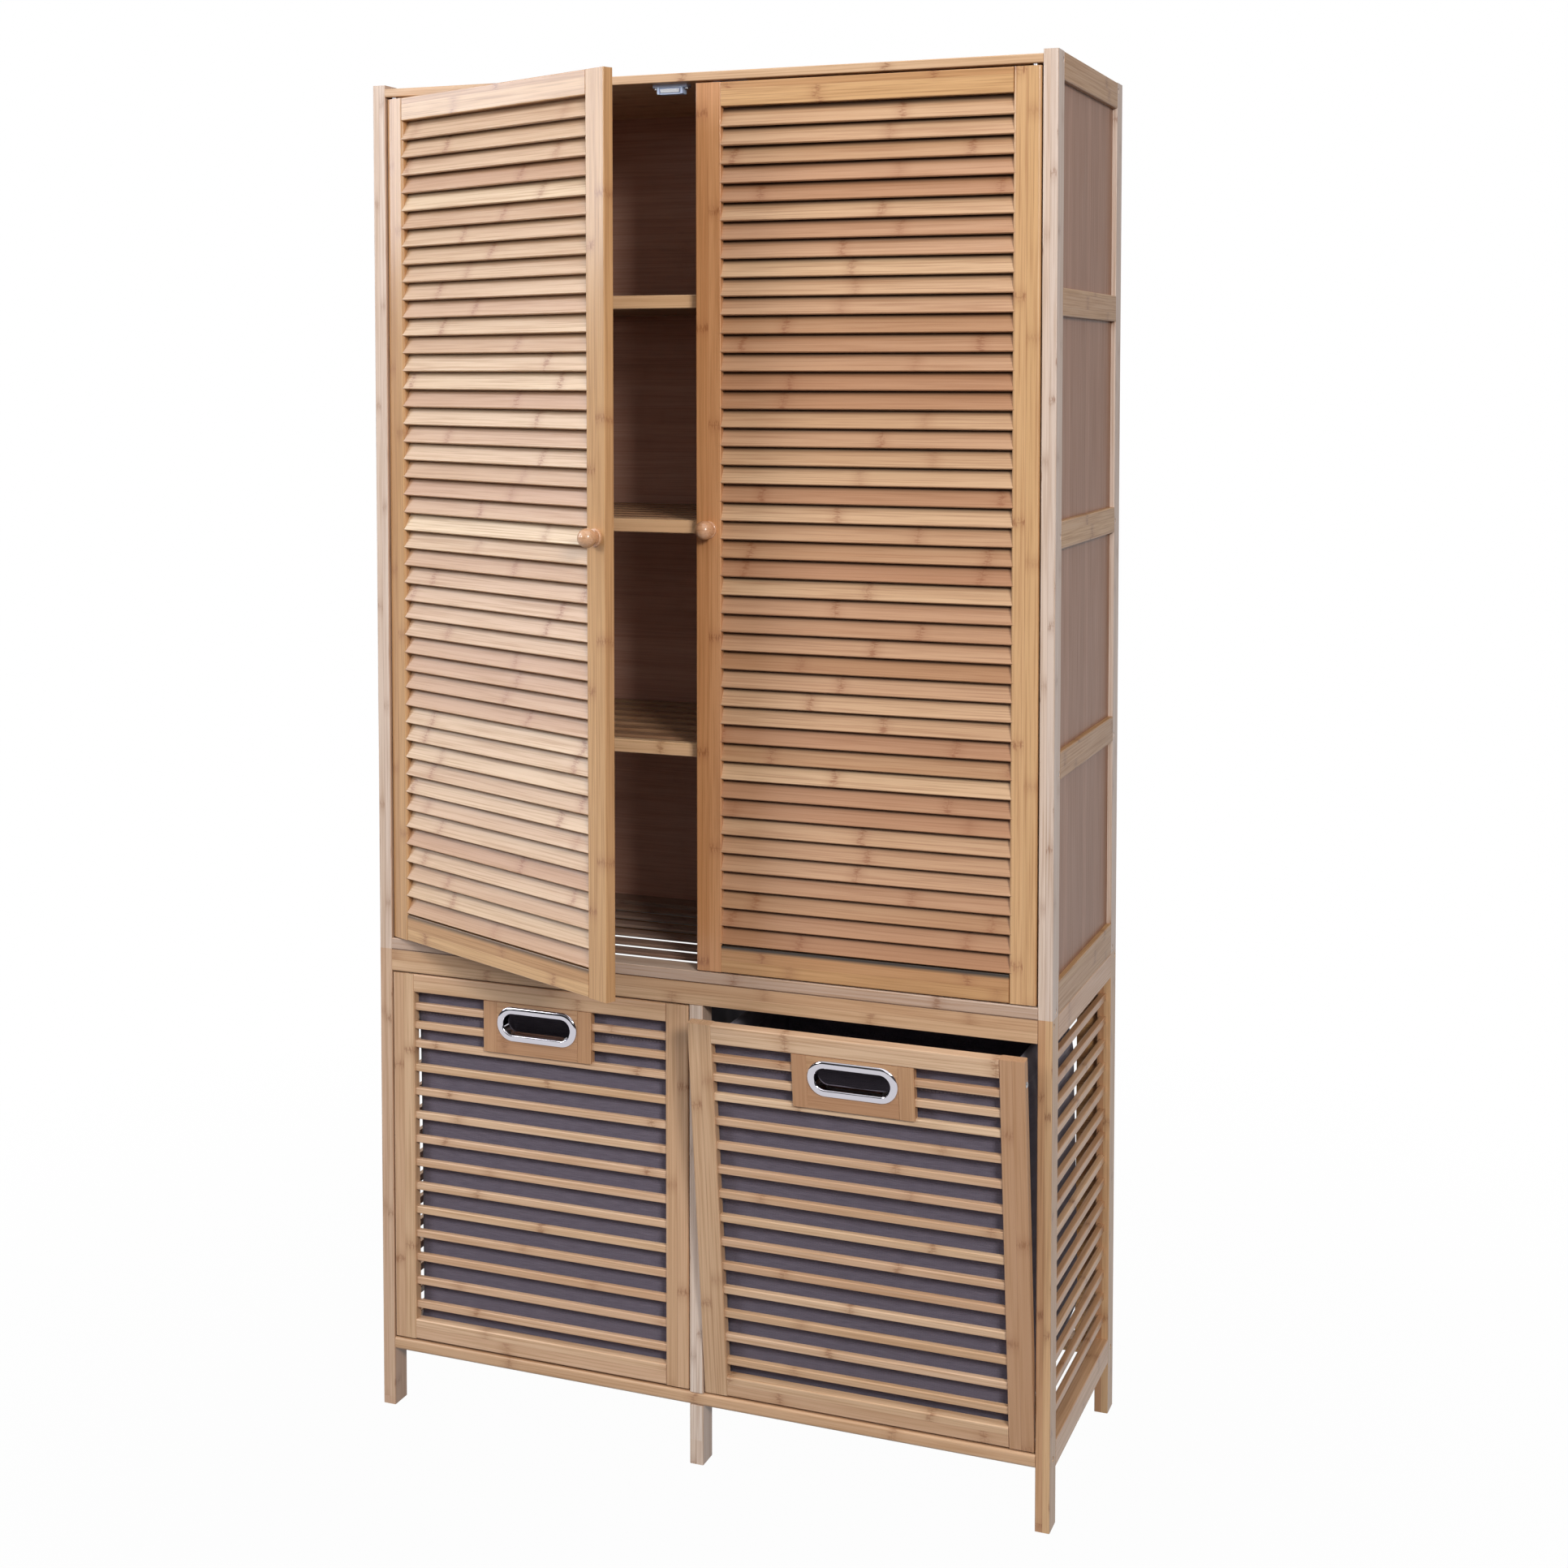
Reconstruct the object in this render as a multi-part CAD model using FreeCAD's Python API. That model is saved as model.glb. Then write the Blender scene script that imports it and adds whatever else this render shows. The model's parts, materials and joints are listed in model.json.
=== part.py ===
import FreeCAD, Part
import os
from math import cos, radians, sin, tan

# A bamboo cabinet of two stacked units: a hutch with two louvred doors stands on a base with two
# tilting laundry hampers. Millimetres. X runs to the right, Y to the back and Z up, and the origin
# is on the floor at the centre of the middle front leg's foot.

# Whole cabinet
width = 936.0
depth = 360.0
lower_height = 634.0
upper_height = 1166.0
post_w = 18.5
post_d = 31.0
edge_round = 1.4
joint_clear = 0.1

# Upper unit: side frames, panels, top, back and shelves
side_rail_h = 34.0
side_foot_rail_h = 41.0
side_panel_count = 4
panel_t = 4.5
panel_recess = 6.5
panel_tongue = 5.0
top_board_t = 11.0
top_board_drop = 5.0
back_panel_t = 4.0
back_panel_inset = 11.0
shelf_rises = {"top_shelf": 882.0, "middle_shelf": 593.5, "low_shelf": 305.0}
shelf_rail_h = 17.0
shelf_rail_d = 15.0
base_rail_h = 14.5
base_rail_d = 36.0
slat_count = 6
slat_w = 22.0
slat_t = 4.8
batten_w = 18.0
batten_count = 3
shelf_end_gap = 1.0

# Doors
door_t = 15.0
door_middle_gap = 3.0
door_top_gap = 3.0
door_foot_gap = 2.0
door_stile_w = 34.0
door_top_rail_h = 30.5
door_foot_rail_h = 35.0
door_hinge_round = 3.5
door_swing_clear = 0.8
louvre_count = 45
louvre_t = 4.0
louvre_tilt_deg = 25.0
louvre_inset = 0.1
louvre_clear = 0.5
louvre_round = 0.8
slat_tenon = 5.0
rail_tenon = 12.0
rail_tenon_t = 6.0
rail_tenon_shoulder = 5.0
pivot_inset = 8.5
pivot_r = 2.0
pivot_run = 0.05
pivot_hold = 20.0
pivot_reach = 8.0
pivot_collar_r = 3.5
pivot_collar_gap = 0.1
knob_rise = 583.5
knob_ball_r = 12.5
knob_ball_reach = 23.0
knob_neck_r = 6.0
knob_foot_r = 11.5
knob_foot_t = 3.0
screw_r = 1.6
screw_head_r = 3.2
screw_head_t = 2.0
screw_sink = 0.4
left_door_ajar_deg = 24.0

# Magnetic catches under the top board
catch_x = 41.5
catch_gap = 0.5
catch_flange_w = 48.0
catch_flange_t = 4.0
catch_body_w = 35.0
catch_h = 12.5
catch_d = 14.0
catch_round = 1.0
magnet_w = 26.0
magnet_h = 4.5
magnet_d = 10.0
magnet_margin = 2.0
magnet_pocket_d = 2.0
strike_w = 36.0
strike_h = 11.0
strike_t = 1.2

# Bolts and dowels of the carcass
bolt_r = 2.0
bolt_head_r = 3.5
bolt_head_t = 3.0
bolt_sink = 0.8
bolt_grip = 25.0
bolt_tip_gap = 1.0
dowel_r = 4.0
dowel_length = 24.0
dowel_inset = 30.0

# Lower unit
lower_side_rail_h = 33.0
lower_foot_rail_z = 70.0
side_slat_count = 15
side_slat_h = 10.0
side_slat_t = 8.5
side_slat_recess = 6.7
front_top_rail_h = 30.0
front_top_rail_d = 18.0
sill_z = 78.0
sill_h = 17.0
sill_round = 4.0
middle_post_w = 19.0
back_rail_h = 44.0
back_stile_w = 31.5
back_stile_t = 15.0

# Hampers
hamper_t = 15.0
hamper_side_gap = 1.5
hamper_top_gap = 2.0
hamper_foot_gap = 3.0
hamper_stile_w = 32.0
hamper_top_rail_h = 24.5
hamper_foot_rail_h = 27.0
hamper_round = 2.0
hamper_slat_h = 10.0
hamper_slat_t = 8.0
hamper_slat_recess = 3.5
hamper_low_slats = 11
hamper_short_slats = 2
hamper_slat_foot_gap = 15.0
plate_w = 159.0
plate_h = 68.5
plate_t = 12.0
plate_end_w = 20.0
plate_lap = 1.5
grommet_w = 118.0
grommet_h = 47.0
grommet_lip = 10.0
grommet_wall = 2.0
grommet_proud = 3.0
grommet_round = 2.6
grommet_inner_round = 1.2
grommet_rise = 6.8
hamper_pin_r = 2.5
hamper_pin_hold = 16.0
hamper_pin_reach = 7.0
hamper_pin_height = 14.0
right_hamper_tilt_deg = 6.5
bag_side_gap = 24.5
bag_draw_in = 6.5
bag_draw_depth = 40.0
bag_taper = 1.5
bag_d = 290.0
bag_front_gap = 5.0
bag_floor_gap = 10.0
bag_wall = 3.0
bag_wire_r = 2.5
bag_wire_drop = 26.5
bag_wire_slope_deg = 7.0
bag_wire_bend = 22.0
bag_wire_hold = 8.0
bag_hang = 0.3
bag_hand_clear = 3.0

# Planes that several pieces share
half_w = width / 2
inner_x = half_w - post_w
front_y = -post_d / 2
back_y = front_y + depth
front_post_y = front_y + post_d
back_post_y = back_y - post_d
total_height = lower_height + upper_height
board_z = total_height - top_board_drop - top_board_t
base_top_z = lower_height + base_rail_h
panel_y = back_y - back_panel_inset - back_panel_t
shelf_tops = {name: lower_height + rise for name, rise in shelf_rises.items()}
knob_height = lower_height + knob_rise
sill_top_z = sill_z + sill_h
lower_rail_z = lower_height - front_top_rail_h
lower_back_z = lower_height - back_rail_h

# A door's hinge edge sweeps a circle about its pivot, and the post and the shelves stay clear of it
pivot_y = front_y + door_t / 2
edge_run = pivot_inset - door_hinge_round
edge_side = door_t / 2 - door_hinge_round
door_swing = (edge_run ** 2 + edge_side ** 2) ** 0.5 + door_hinge_round
door_hinge_gap = door_swing + door_swing_clear - pivot_inset
shelf_y = pivot_y + door_swing + door_swing_clear

x_axis = FreeCAD.Vector(1, 0, 0)
y_axis = FreeCAD.Vector(0, 1, 0)
z_axis = FreeCAD.Vector(0, 0, 1)
origin = FreeCAD.Vector(0, 0, 0)
overshoot = 1.0
nodes = {}


def block(x, y, z):
    """A plain box between pairs of limits."""
    corner = FreeCAD.Vector(x[0], y[0], z[0])
    return Part.makeBox(x[1] - x[0], y[1] - y[0], z[1] - z[0], corner)


def behind(y):
    """The same depth measured from the back of the cabinet."""
    return front_y + back_y - y


def along(edge, axis):
    """True where a straight edge runs along an axis."""
    run = edge.Vertexes[-1].Point - edge.Vertexes[0].Point
    return run.Length > 0 and abs(run.normalize().dot(axis)) > 0.999


def bar(x, y, z, grain, radius=edge_round):
    """A wooden bar with the edges along its grain rounded."""
    solid = block(x, y, z)
    spans = (x[1] - x[0], y[1] - y[0], z[1] - z[0])
    section = [span for span, part in zip(spans, grain) if not part]
    radius = min(radius, 0.4 * min(section))
    return solid.makeFillet(radius, [edge for edge in solid.Edges if along(edge, grain)])


def rod(radius, start, axis, length):
    """A round rod from a point along an axis."""
    return Part.makeCylinder(radius, length, FreeCAD.Vector(*start), axis)


def carve(solid, tools):
    """Cut the tools out of a solid and give back the one piece that is left."""
    return solid.cut(tools).Solids[0]


def grown(x, y, z, clear=joint_clear):
    """The box of a tongue or tenon with its clearance all round."""
    return block(*[(low - clear, high + clear) for low, high in (x, y, z)])


def mirrored(solids):
    """The same solids on the other side of the cabinet's middle."""
    return [solid.mirror(origin, x_axis) for solid in solids]


def turned(solids, centre, axis, angle):
    """The solids turned about an axis through a point."""
    return [solid.copy().rotate(centre, axis, angle) for solid in solids]


def spread(first, last, count):
    """Evenly spaced values from the first to the last."""
    return [first + (last - first) * step / (count - 1) for step in range(count)]


def tenons(x, y, z):
    """The two stub tenons at the ends of a rail that runs along X."""
    middle_y = (y[0] + y[1]) / 2
    thick = (middle_y - rail_tenon_t / 2, middle_y + rail_tenon_t / 2)
    tall = (z[0] + rail_tenon_shoulder, z[1] - rail_tenon_shoulder)
    return [((x[0] - rail_tenon, x[0]), thick, tall), ((x[1], x[1] + rail_tenon), thick, tall)]


def tenoned_rail(x, y, z, radius):
    """A frame rail with its tenons, and the mortises that they need."""
    spans = tenons(x, y, z)
    rail = bar(x, y, z, x_axis, radius).fuse([block(*span) for span in spans])
    return rail.removeSplitter().Solids[0], [grown(*span) for span in spans]


# Bolts run from the outer faces of the posts into the ends of the rails

shelf_bolt_y = shelf_y + shelf_rail_d / 2
board_bolt_z = board_z + top_board_t / 2
base_bolt_z = lower_height + base_rail_h / 2
rail_bolt_y = front_y + front_top_rail_d * 0.4
rail_bolt_z = lower_height - front_top_rail_h * 0.27
sill_bolt_y = front_y + post_d / 2
sill_bolt_z = sill_z + sill_h / 2
base_bolt_y = front_y + post_d * 0.55
base_back_bolt_y = (back_post_y + panel_y) / 2
bolt_places = [(shelf_bolt_y, board_bolt_z)]
bolt_places += [(shelf_bolt_y, shelf_tops[name] - shelf_rail_h / 2) for name in ("middle_shelf", "low_shelf")]
bolt_places += [(rail_bolt_y, rail_bolt_z), (sill_bolt_y, sill_bolt_z)]
bolt_places += [(behind(y), z) for y, z in bolt_places]
bolt_places += [(base_bolt_y, base_bolt_z), (base_back_bolt_y, base_bolt_z)]
bolt_seat_x = half_w - bolt_sink - bolt_head_t


def bolt(y, z):
    """A bolt whose head lies just below the face of a right-hand post."""
    head = rod(bolt_head_r, (bolt_seat_x, y, z), x_axis, bolt_head_t)
    shank = rod(bolt_r, (inner_x - bolt_grip, y, z), x_axis, bolt_seat_x - inner_x + bolt_grip)
    return head.fuse(shank).removeSplitter().Solids[0]


def bolt_hole(y, z):
    """The stepped hole of a bolt, through the post and into the rail."""
    mouth = rod(bolt_head_r + joint_clear, (bolt_seat_x, y, z), x_axis, half_w + overshoot - bolt_seat_x)
    tip_x = inner_x - bolt_grip - bolt_tip_gap
    return mouth.fuse(rod(bolt_r + joint_clear, (tip_x, y, z), x_axis, half_w - tip_x)).Solids[0]


right_bolts = [bolt(y, z) for y, z in bolt_places]
right_holes = [bolt_hole(y, z) for y, z in bolt_places]
bolt_holes = right_holes + mirrored(right_holes)
nodes["post_bolts"] = right_bolts + mirrored(right_bolts)

# Dowels: four between the units, and four that carry the top shelf

post_x = (inner_x + half_w) / 2
unit_dowel_y = front_post_y + dowel_inset
shelf_dowel_z = shelf_tops["top_shelf"] - shelf_rail_h / 2
right_dowels = []
right_sockets = []
for y in (unit_dowel_y, behind(unit_dowel_y)):
    start = (post_x, y, lower_height - dowel_length / 2)
    right_dowels.append(rod(dowel_r, start, z_axis, dowel_length))
    socket = (post_x, y, lower_height - dowel_length / 2 - joint_clear)
    right_sockets.append(rod(dowel_r + joint_clear, socket, z_axis, dowel_length + 2 * joint_clear))
for y in (shelf_bolt_y, behind(shelf_bolt_y)):
    start = (inner_x - dowel_length / 2, y, shelf_dowel_z)
    right_dowels.append(rod(dowel_r, start, x_axis, dowel_length))
    socket = (inner_x - dowel_length / 2 - joint_clear, y, shelf_dowel_z)
    right_sockets.append(rod(dowel_r + joint_clear, socket, x_axis, dowel_length + 2 * joint_clear))
sockets = right_sockets + mirrored(right_sockets)
nodes["dowels"] = right_dowels + mirrored(right_dowels)

# Side frames of the upper unit: rails between the posts, with thin panels in their grooves

post_span_x = (inner_x, half_w)
side_span_y = (front_post_y, back_post_y)
rails_h = side_panel_count * side_rail_h + side_foot_rail_h
panel_h = (upper_height - rails_h) / side_panel_count
panel_x = (half_w - panel_recess - panel_t, half_w - panel_recess)
panel_span_y = (front_post_y - panel_tongue, back_post_y + panel_tongue)
rail_spans = [(lower_height, lower_height + side_foot_rail_h)]
panel_spans = []
for step in range(side_panel_count):
    foot = rail_spans[-1][1]
    panel_spans.append((foot - panel_tongue, foot + panel_h + panel_tongue))
    rail_spans.append((foot + panel_h, foot + panel_h + side_rail_h))

grooves = [grown(panel_x, panel_span_y, span) for span in panel_spans]
panel_cuts = right_holes + right_sockets
side_panels = [carve(block(panel_x, panel_span_y, span), panel_cuts) for span in panel_spans]
rail_cuts = grooves + right_sockets
side_rails = [carve(bar(post_span_x, side_span_y, span, y_axis), rail_cuts) for span in rail_spans]
nodes["upper_right_side_rails"] = side_rails
nodes["upper_left_side_rails"] = mirrored(side_rails)
nodes["upper_right_side_panels"] = side_panels
nodes["upper_left_side_panels"] = mirrored(side_panels)

# Side frames of the lower unit: two rails and a ladder of slats let into the legs

slat_x = (half_w - side_slat_recess - side_slat_t, half_w - side_slat_recess)
slat_span_y = (front_post_y - slat_tenon, back_post_y + slat_tenon)
side_head_z = lower_height - lower_side_rail_h
side_foot_z = lower_foot_rail_z + lower_side_rail_h
side_slat_gap = (side_head_z - side_foot_z - side_slat_count * side_slat_h) / (side_slat_count + 1)
slat_zs = [side_foot_z + side_slat_gap + step * (side_slat_gap + side_slat_h) for step in range(side_slat_count)]
side_slats = [bar(slat_x, slat_span_y, (z, z + side_slat_h), y_axis) for z in slat_zs]
slat_mortises = [grown(slat_x, slat_span_y, (z, z + side_slat_h)) for z in slat_zs]
lower_side = [carve(bar(post_span_x, side_span_y, (side_head_z, lower_height), y_axis), right_sockets)]
lower_side.append(bar(post_span_x, side_span_y, (lower_foot_rail_z, side_foot_z), y_axis))
nodes["lower_right_side"] = lower_side + side_slats
nodes["lower_left_side"] = mirrored(lower_side + side_slats)

# Posts and legs, with the holes, grooves and mortises of what they carry

hamper_foot_z = sill_top_z + hamper_foot_gap
hamper_axis_y = front_y + hamper_t / 2
hamper_axis_z = hamper_foot_z + hamper_pin_height
hamper_bore_depth = hamper_pin_reach + hamper_side_gap


def hamper_bore(face_x, way):
    """The blind bore in a leg or post where a hamper's pin turns."""
    start_x = face_x if way > 0 else face_x - hamper_bore_depth
    return rod(hamper_pin_r + pivot_run, (start_x, hamper_axis_y, hamper_axis_z), x_axis, hamper_bore_depth)


post_cuts = right_holes + right_sockets + grooves + slat_mortises + [hamper_bore(inner_x, 1)]
for place, span in (("front", (front_y, front_post_y)), ("rear", (back_post_y, back_y))):
    post = carve(bar(post_span_x, span, (lower_height, total_height), z_axis), post_cuts)
    leg = carve(bar(post_span_x, span, (0.0, lower_height), z_axis), post_cuts)
    nodes["upper_" + place + "_right_post"] = [post]
    nodes["upper_" + place + "_left_post"] = mirrored([post])
    nodes["lower_" + place + "_right_leg"] = [leg]
    nodes["lower_" + place + "_left_leg"] = mirrored([leg])

# Front, back and middle of the lower unit

between_x = (-inner_x, inner_x)
front_top = bar(between_x, (front_y, front_y + front_top_rail_d), (lower_rail_z, lower_height), x_axis)
nodes["front_top_rail"] = [carve(front_top, bolt_holes)]
sill = bar(between_x, (front_y, front_post_y), (sill_z, sill_top_z), x_axis, sill_round)
nodes["front_bottom_rail"] = [carve(sill, bolt_holes)]

middle_x = (-middle_post_w / 2, middle_post_w / 2)
front_span = (front_y, front_post_y)
back_span = (back_post_y, back_y)
hamper_bores = [hamper_bore(middle_x[1], -1), hamper_bore(middle_x[0], 1)]
front_post = carve(bar(middle_x, front_span, (sill_top_z, lower_rail_z), z_axis), hamper_bores)
rear_post = bar(middle_x, back_span, (sill_top_z, lower_back_z), z_axis)
nodes["middle_posts"] = [front_post, rear_post]
nodes["middle_legs"] = [bar(middle_x, span, (0.0, sill_z), z_axis) for span in (front_span, back_span)]

back_top = bar(between_x, (back_y - front_top_rail_d, back_y), (lower_back_z, lower_height), x_axis)
back_sill = bar(between_x, back_span, (sill_z, sill_top_z), x_axis)
stile_y = (back_y - back_stile_t, back_y)
back_stile = bar((inner_x - back_stile_w, inner_x), stile_y, (sill_top_z, lower_back_z), z_axis)
back_rails = [carve(back_top, bolt_holes), carve(back_sill, bolt_holes)]
nodes["lower_back_frame"] = back_rails + [back_stile] + mirrored([back_stile])

# Shelves: a front and a rear rail, battens between them and slats on the battens


def shelf(top, rail_h, front, rear, rail_d):
    """The rails, battens and slats of one shelf, whose top is at a height."""
    rail_z = (top - rail_h, top)
    rails = [bar(between_x, (front, front + rail_d), rail_z, x_axis)]
    rails.append(bar(between_x, (rear - rail_d, rear), rail_z, x_axis))
    clear_y = (front + rail_d, rear - rail_d)
    end_x = inner_x - shelf_end_gap
    batten_z = (top - rail_h, top - slat_t)
    batten_xs = spread(-end_x, end_x - batten_w, batten_count)
    battens = [block((x, x + batten_w), clear_y, batten_z) for x in batten_xs]
    gap = (clear_y[1] - clear_y[0] - slat_count * slat_w) / (slat_count + 1)
    slat_ys = spread(clear_y[0] + gap, clear_y[1] - gap - slat_w, slat_count)
    slats = [bar((-end_x, end_x), (y, y + slat_w), (top - slat_t, top), x_axis) for y in slat_ys]
    return [carve(rail, bolt_holes + sockets) for rail in rails] + battens + slats


for name, top in shelf_tops.items():
    nodes[name] = shelf(top, shelf_rail_h, shelf_y, behind(shelf_y), shelf_rail_d)

pivot_x = inner_x - door_hinge_gap - pivot_inset
door_z = (base_top_z + door_foot_gap, board_z - door_top_gap)
pivot_foot = rod(pivot_r + pivot_run, (pivot_x, pivot_y, base_top_z - pivot_reach), z_axis, pivot_reach)
pivot_head = rod(pivot_r + pivot_run, (pivot_x, pivot_y, board_z), z_axis, pivot_reach)
base = shelf(base_top_z, base_rail_h, front_y, panel_y, base_rail_d)
base[0] = carve(base[0], [pivot_foot] + mirrored([pivot_foot]))
nodes["upper_base"] = base

# Magnetic catches, each on two screws under the top board

catch_y = front_y + door_t + strike_t + catch_gap
catch_span_y = (catch_y, catch_y + catch_d)
catch_spans = (catch_flange_w / 2, catch_body_w / 2, magnet_w / 2)
flange_x, body_x, magnet_x = [(catch_x - half, catch_x + half) for half in catch_spans]
magnet_middle_z = board_z - (catch_flange_t + catch_h) / 2
magnet_z = (magnet_middle_z - magnet_h / 2, magnet_middle_z + magnet_h / 2)
magnet_span_y = (catch_y, catch_y + magnet_d)
catch_ear_xs = [(flange_x[0] + body_x[0]) / 2, (flange_x[1] + body_x[1]) / 2]
catch_screw_y = catch_y + catch_d / 2
catch_screw_grip = 6.0


def screw(start, axis, grip, head_r=screw_head_r):
    """A round-headed screw: its head lies against the way it points."""
    head_start = FreeCAD.Vector(*start) - axis * screw_head_t
    head = Part.makeCylinder(head_r, screw_head_t, head_start, axis)
    return head.fuse(rod(screw_r, start, axis, grip)).removeSplitter().Solids[0]


def screw_hole(start, axis, grip):
    """The clearance hole of a screw's shank."""
    return rod(screw_r + joint_clear, start, axis, grip + joint_clear)


ear_starts = [(x, catch_screw_y, board_z - catch_flange_t) for x in catch_ear_xs]
ear_grip = catch_flange_t + catch_screw_grip
ear_head_r = (catch_flange_w - catch_body_w) / 4 - joint_clear
ear_holes = [screw_hole(start, z_axis, ear_grip) for start in ear_starts]
flange = bar(flange_x, catch_span_y, (board_z - catch_flange_t, board_z), z_axis, catch_round)
body = bar(body_x, catch_span_y, (board_z - catch_h, board_z), y_axis, catch_round)
pocket_y = (catch_y - overshoot, catch_y + magnet_pocket_d)
pocket_x, pocket_z = [(low - magnet_margin, high + magnet_margin) for low, high in (magnet_x, magnet_z)]
catch_cuts = ear_holes + [grown(magnet_x, magnet_span_y, magnet_z), block(pocket_x, pocket_y, pocket_z)]
catch = carve(flange.fuse(body).removeSplitter(), catch_cuts)
magnet = block(magnet_x, magnet_span_y, magnet_z)
ear_screws = [screw(start, z_axis, ear_grip, ear_head_r) for start in ear_starts]
nodes["door_catches"] = [catch] + mirrored([catch])
nodes["catch_magnets"] = [magnet] + mirrored([magnet])
nodes["catch_screws"] = ear_screws + mirrored(ear_screws)

board = bar(between_x, (front_y, back_y), (board_z, board_z + top_board_t), x_axis)
board_cuts = bolt_holes + ear_holes + mirrored(ear_holes) + [pivot_head] + mirrored([pivot_head])
nodes["top_board"] = [carve(board, board_cuts)]
back_panel_y = (panel_y, panel_y + back_panel_t)
nodes["upper_back_panel"] = [block(between_x, back_panel_y, (lower_height, board_z))]

# Doors, built closed. The right-hand door is the pattern and the left one its mirror image.

door_x = (door_middle_gap / 2, inner_x - door_hinge_gap)
door_y = (front_y, front_y + door_t)
clear_x = (door_x[0] + door_stile_w, door_x[1] - door_stile_w)
clear_z = (door_z[0] + door_foot_rail_h, door_z[1] - door_top_rail_h)
tilt = radians(louvre_tilt_deg)
louvre_w = (door_t - 2 * louvre_inset - louvre_t * cos(tilt)) / sin(tilt)
louvre_reach = (louvre_w * cos(tilt) + louvre_t * sin(tilt)) / 2 + louvre_clear
louvre_zs = spread(clear_z[0] + louvre_reach, clear_z[1] - louvre_reach, louvre_count)


def louvre(z, clear, radius):
    """A tilted louvre whose lower edge points to the front, or the mortise that holds it."""
    x = (clear_x[0] - slat_tenon - clear, clear_x[1] + slat_tenon + clear)
    y = (pivot_y - louvre_t / 2 - clear, pivot_y + louvre_t / 2 + clear)
    span = (z - louvre_w / 2 - clear, z + louvre_w / 2 + clear)
    solid = bar(x, y, span, x_axis, radius) if radius else block(x, y, span)
    return turned([solid], FreeCAD.Vector(0, pivot_y, z), x_axis, -louvre_tilt_deg)[0]


def knob():
    """A turned knob: foot, waisted neck and ball, on the front of the meeting stile."""
    neck_end = knob_ball_reach - (knob_ball_r ** 2 - knob_neck_r ** 2) ** 0.5
    foot_edge = knob_foot_t / 2
    ball_side = FreeCAD.Vector(knob_ball_r, knob_ball_reach, 0)
    tip = FreeCAD.Vector(0, knob_ball_reach + knob_ball_r, 0)
    neck = FreeCAD.Vector(knob_neck_r, neck_end, 0)
    waist = FreeCAD.Vector(knob_neck_r * 0.92, (knob_foot_t + neck_end) / 2, 0)
    foot_top = FreeCAD.Vector(knob_neck_r, knob_foot_t, 0)
    corner = FreeCAD.Vector(knob_foot_r - foot_edge, knob_foot_t, 0)
    rim = FreeCAD.Vector(knob_foot_r, foot_edge, 0)
    bulge = foot_edge * (1 - cos(radians(45)))
    rim_middle = FreeCAD.Vector(knob_foot_r - bulge, knob_foot_t - bulge, 0)
    foot_side = FreeCAD.Vector(knob_foot_r, 0, 0)
    edges = [Part.LineSegment(origin, foot_side).toShape(), Part.LineSegment(foot_side, rim).toShape()]
    edges.append(Part.Arc(rim, rim_middle, corner).toShape())
    edges.append(Part.LineSegment(corner, foot_top).toShape())
    edges.append(Part.Arc(foot_top, waist, neck).toShape())
    edges.append(Part.Arc(neck, ball_side, tip).toShape())
    edges.append(Part.LineSegment(tip, origin).toShape())
    turning = Part.Face(Part.Wire(edges)).revolve(origin, y_axis, 360)
    turning.rotate(origin, x_axis, 180)
    turning.translate(FreeCAD.Vector(knob_x, front_y, knob_height))
    return turning.Solids[0] if turning.Solids else Part.makeSolid(turning)


knob_x = door_x[0] + door_stile_w / 2
knob_grip = 10.0
knob_screw_start = (knob_x, door_y[1] - screw_sink - screw_head_t, knob_height)
knob_screw_reach = door_t - screw_sink - screw_head_t + knob_grip
head_sink_start = (knob_x, knob_screw_start[1], knob_height)
knob_head_hole = rod(screw_head_r + joint_clear, head_sink_start, y_axis, screw_head_t + overshoot)
knob_hole = screw_hole(knob_screw_start, -y_axis, knob_screw_reach)
knob_screw = screw(knob_screw_start, -y_axis, knob_screw_reach)

strike_z = (door_z[1] - strike_h - overshoot, door_z[1] - overshoot)
strike_x = (catch_x - strike_w / 2, catch_x + strike_w / 2)
strike_y = (door_y[1], door_y[1] + strike_t)
strike_middle = (catch_x, door_y[1] + strike_t, (strike_z[0] + strike_z[1]) / 2)
strike_grip = 9.0
strike_hole = screw_hole(strike_middle, -y_axis, strike_grip)
strike_pin = rod(screw_r, strike_middle, -y_axis, strike_grip)
strike_plate = carve(bar(strike_x, strike_y, strike_z, y_axis, catch_round), [strike_hole])

door_rail_spans = ((door_z[0], clear_z[0]), (clear_z[1], door_z[1]))
door_rails = [tenoned_rail(clear_x, door_y, span, edge_round) for span in door_rail_spans]
door_mortises = [cut for rail, cuts in door_rails for cut in cuts]
louvre_mortises = [louvre(z, joint_clear, 0) for z in louvre_zs]
pivot_cuts = []
pivots = []
for face, way in ((door_z[0], -1), (door_z[1], 1)):
    hold = (pivot_x, pivot_y, face if way < 0 else face - pivot_hold)
    pivot_cuts.append(rod(pivot_r + pivot_run, hold, z_axis, pivot_hold))
    gap = door_foot_gap if way < 0 else door_top_gap
    length = pivot_hold + gap + pivot_reach - 2 * pivot_collar_gap
    low = face - gap - pivot_reach + pivot_collar_gap if way < 0 else face - pivot_hold + pivot_collar_gap
    collar_low = face - gap + pivot_collar_gap if way < 0 else face
    pin = rod(pivot_r, (pivot_x, pivot_y, low), z_axis, length)
    collar = rod(pivot_collar_r, (pivot_x, pivot_y, collar_low), z_axis, gap - pivot_collar_gap)
    pivots.append(pin.fuse(collar).removeSplitter().Solids[0])

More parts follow.
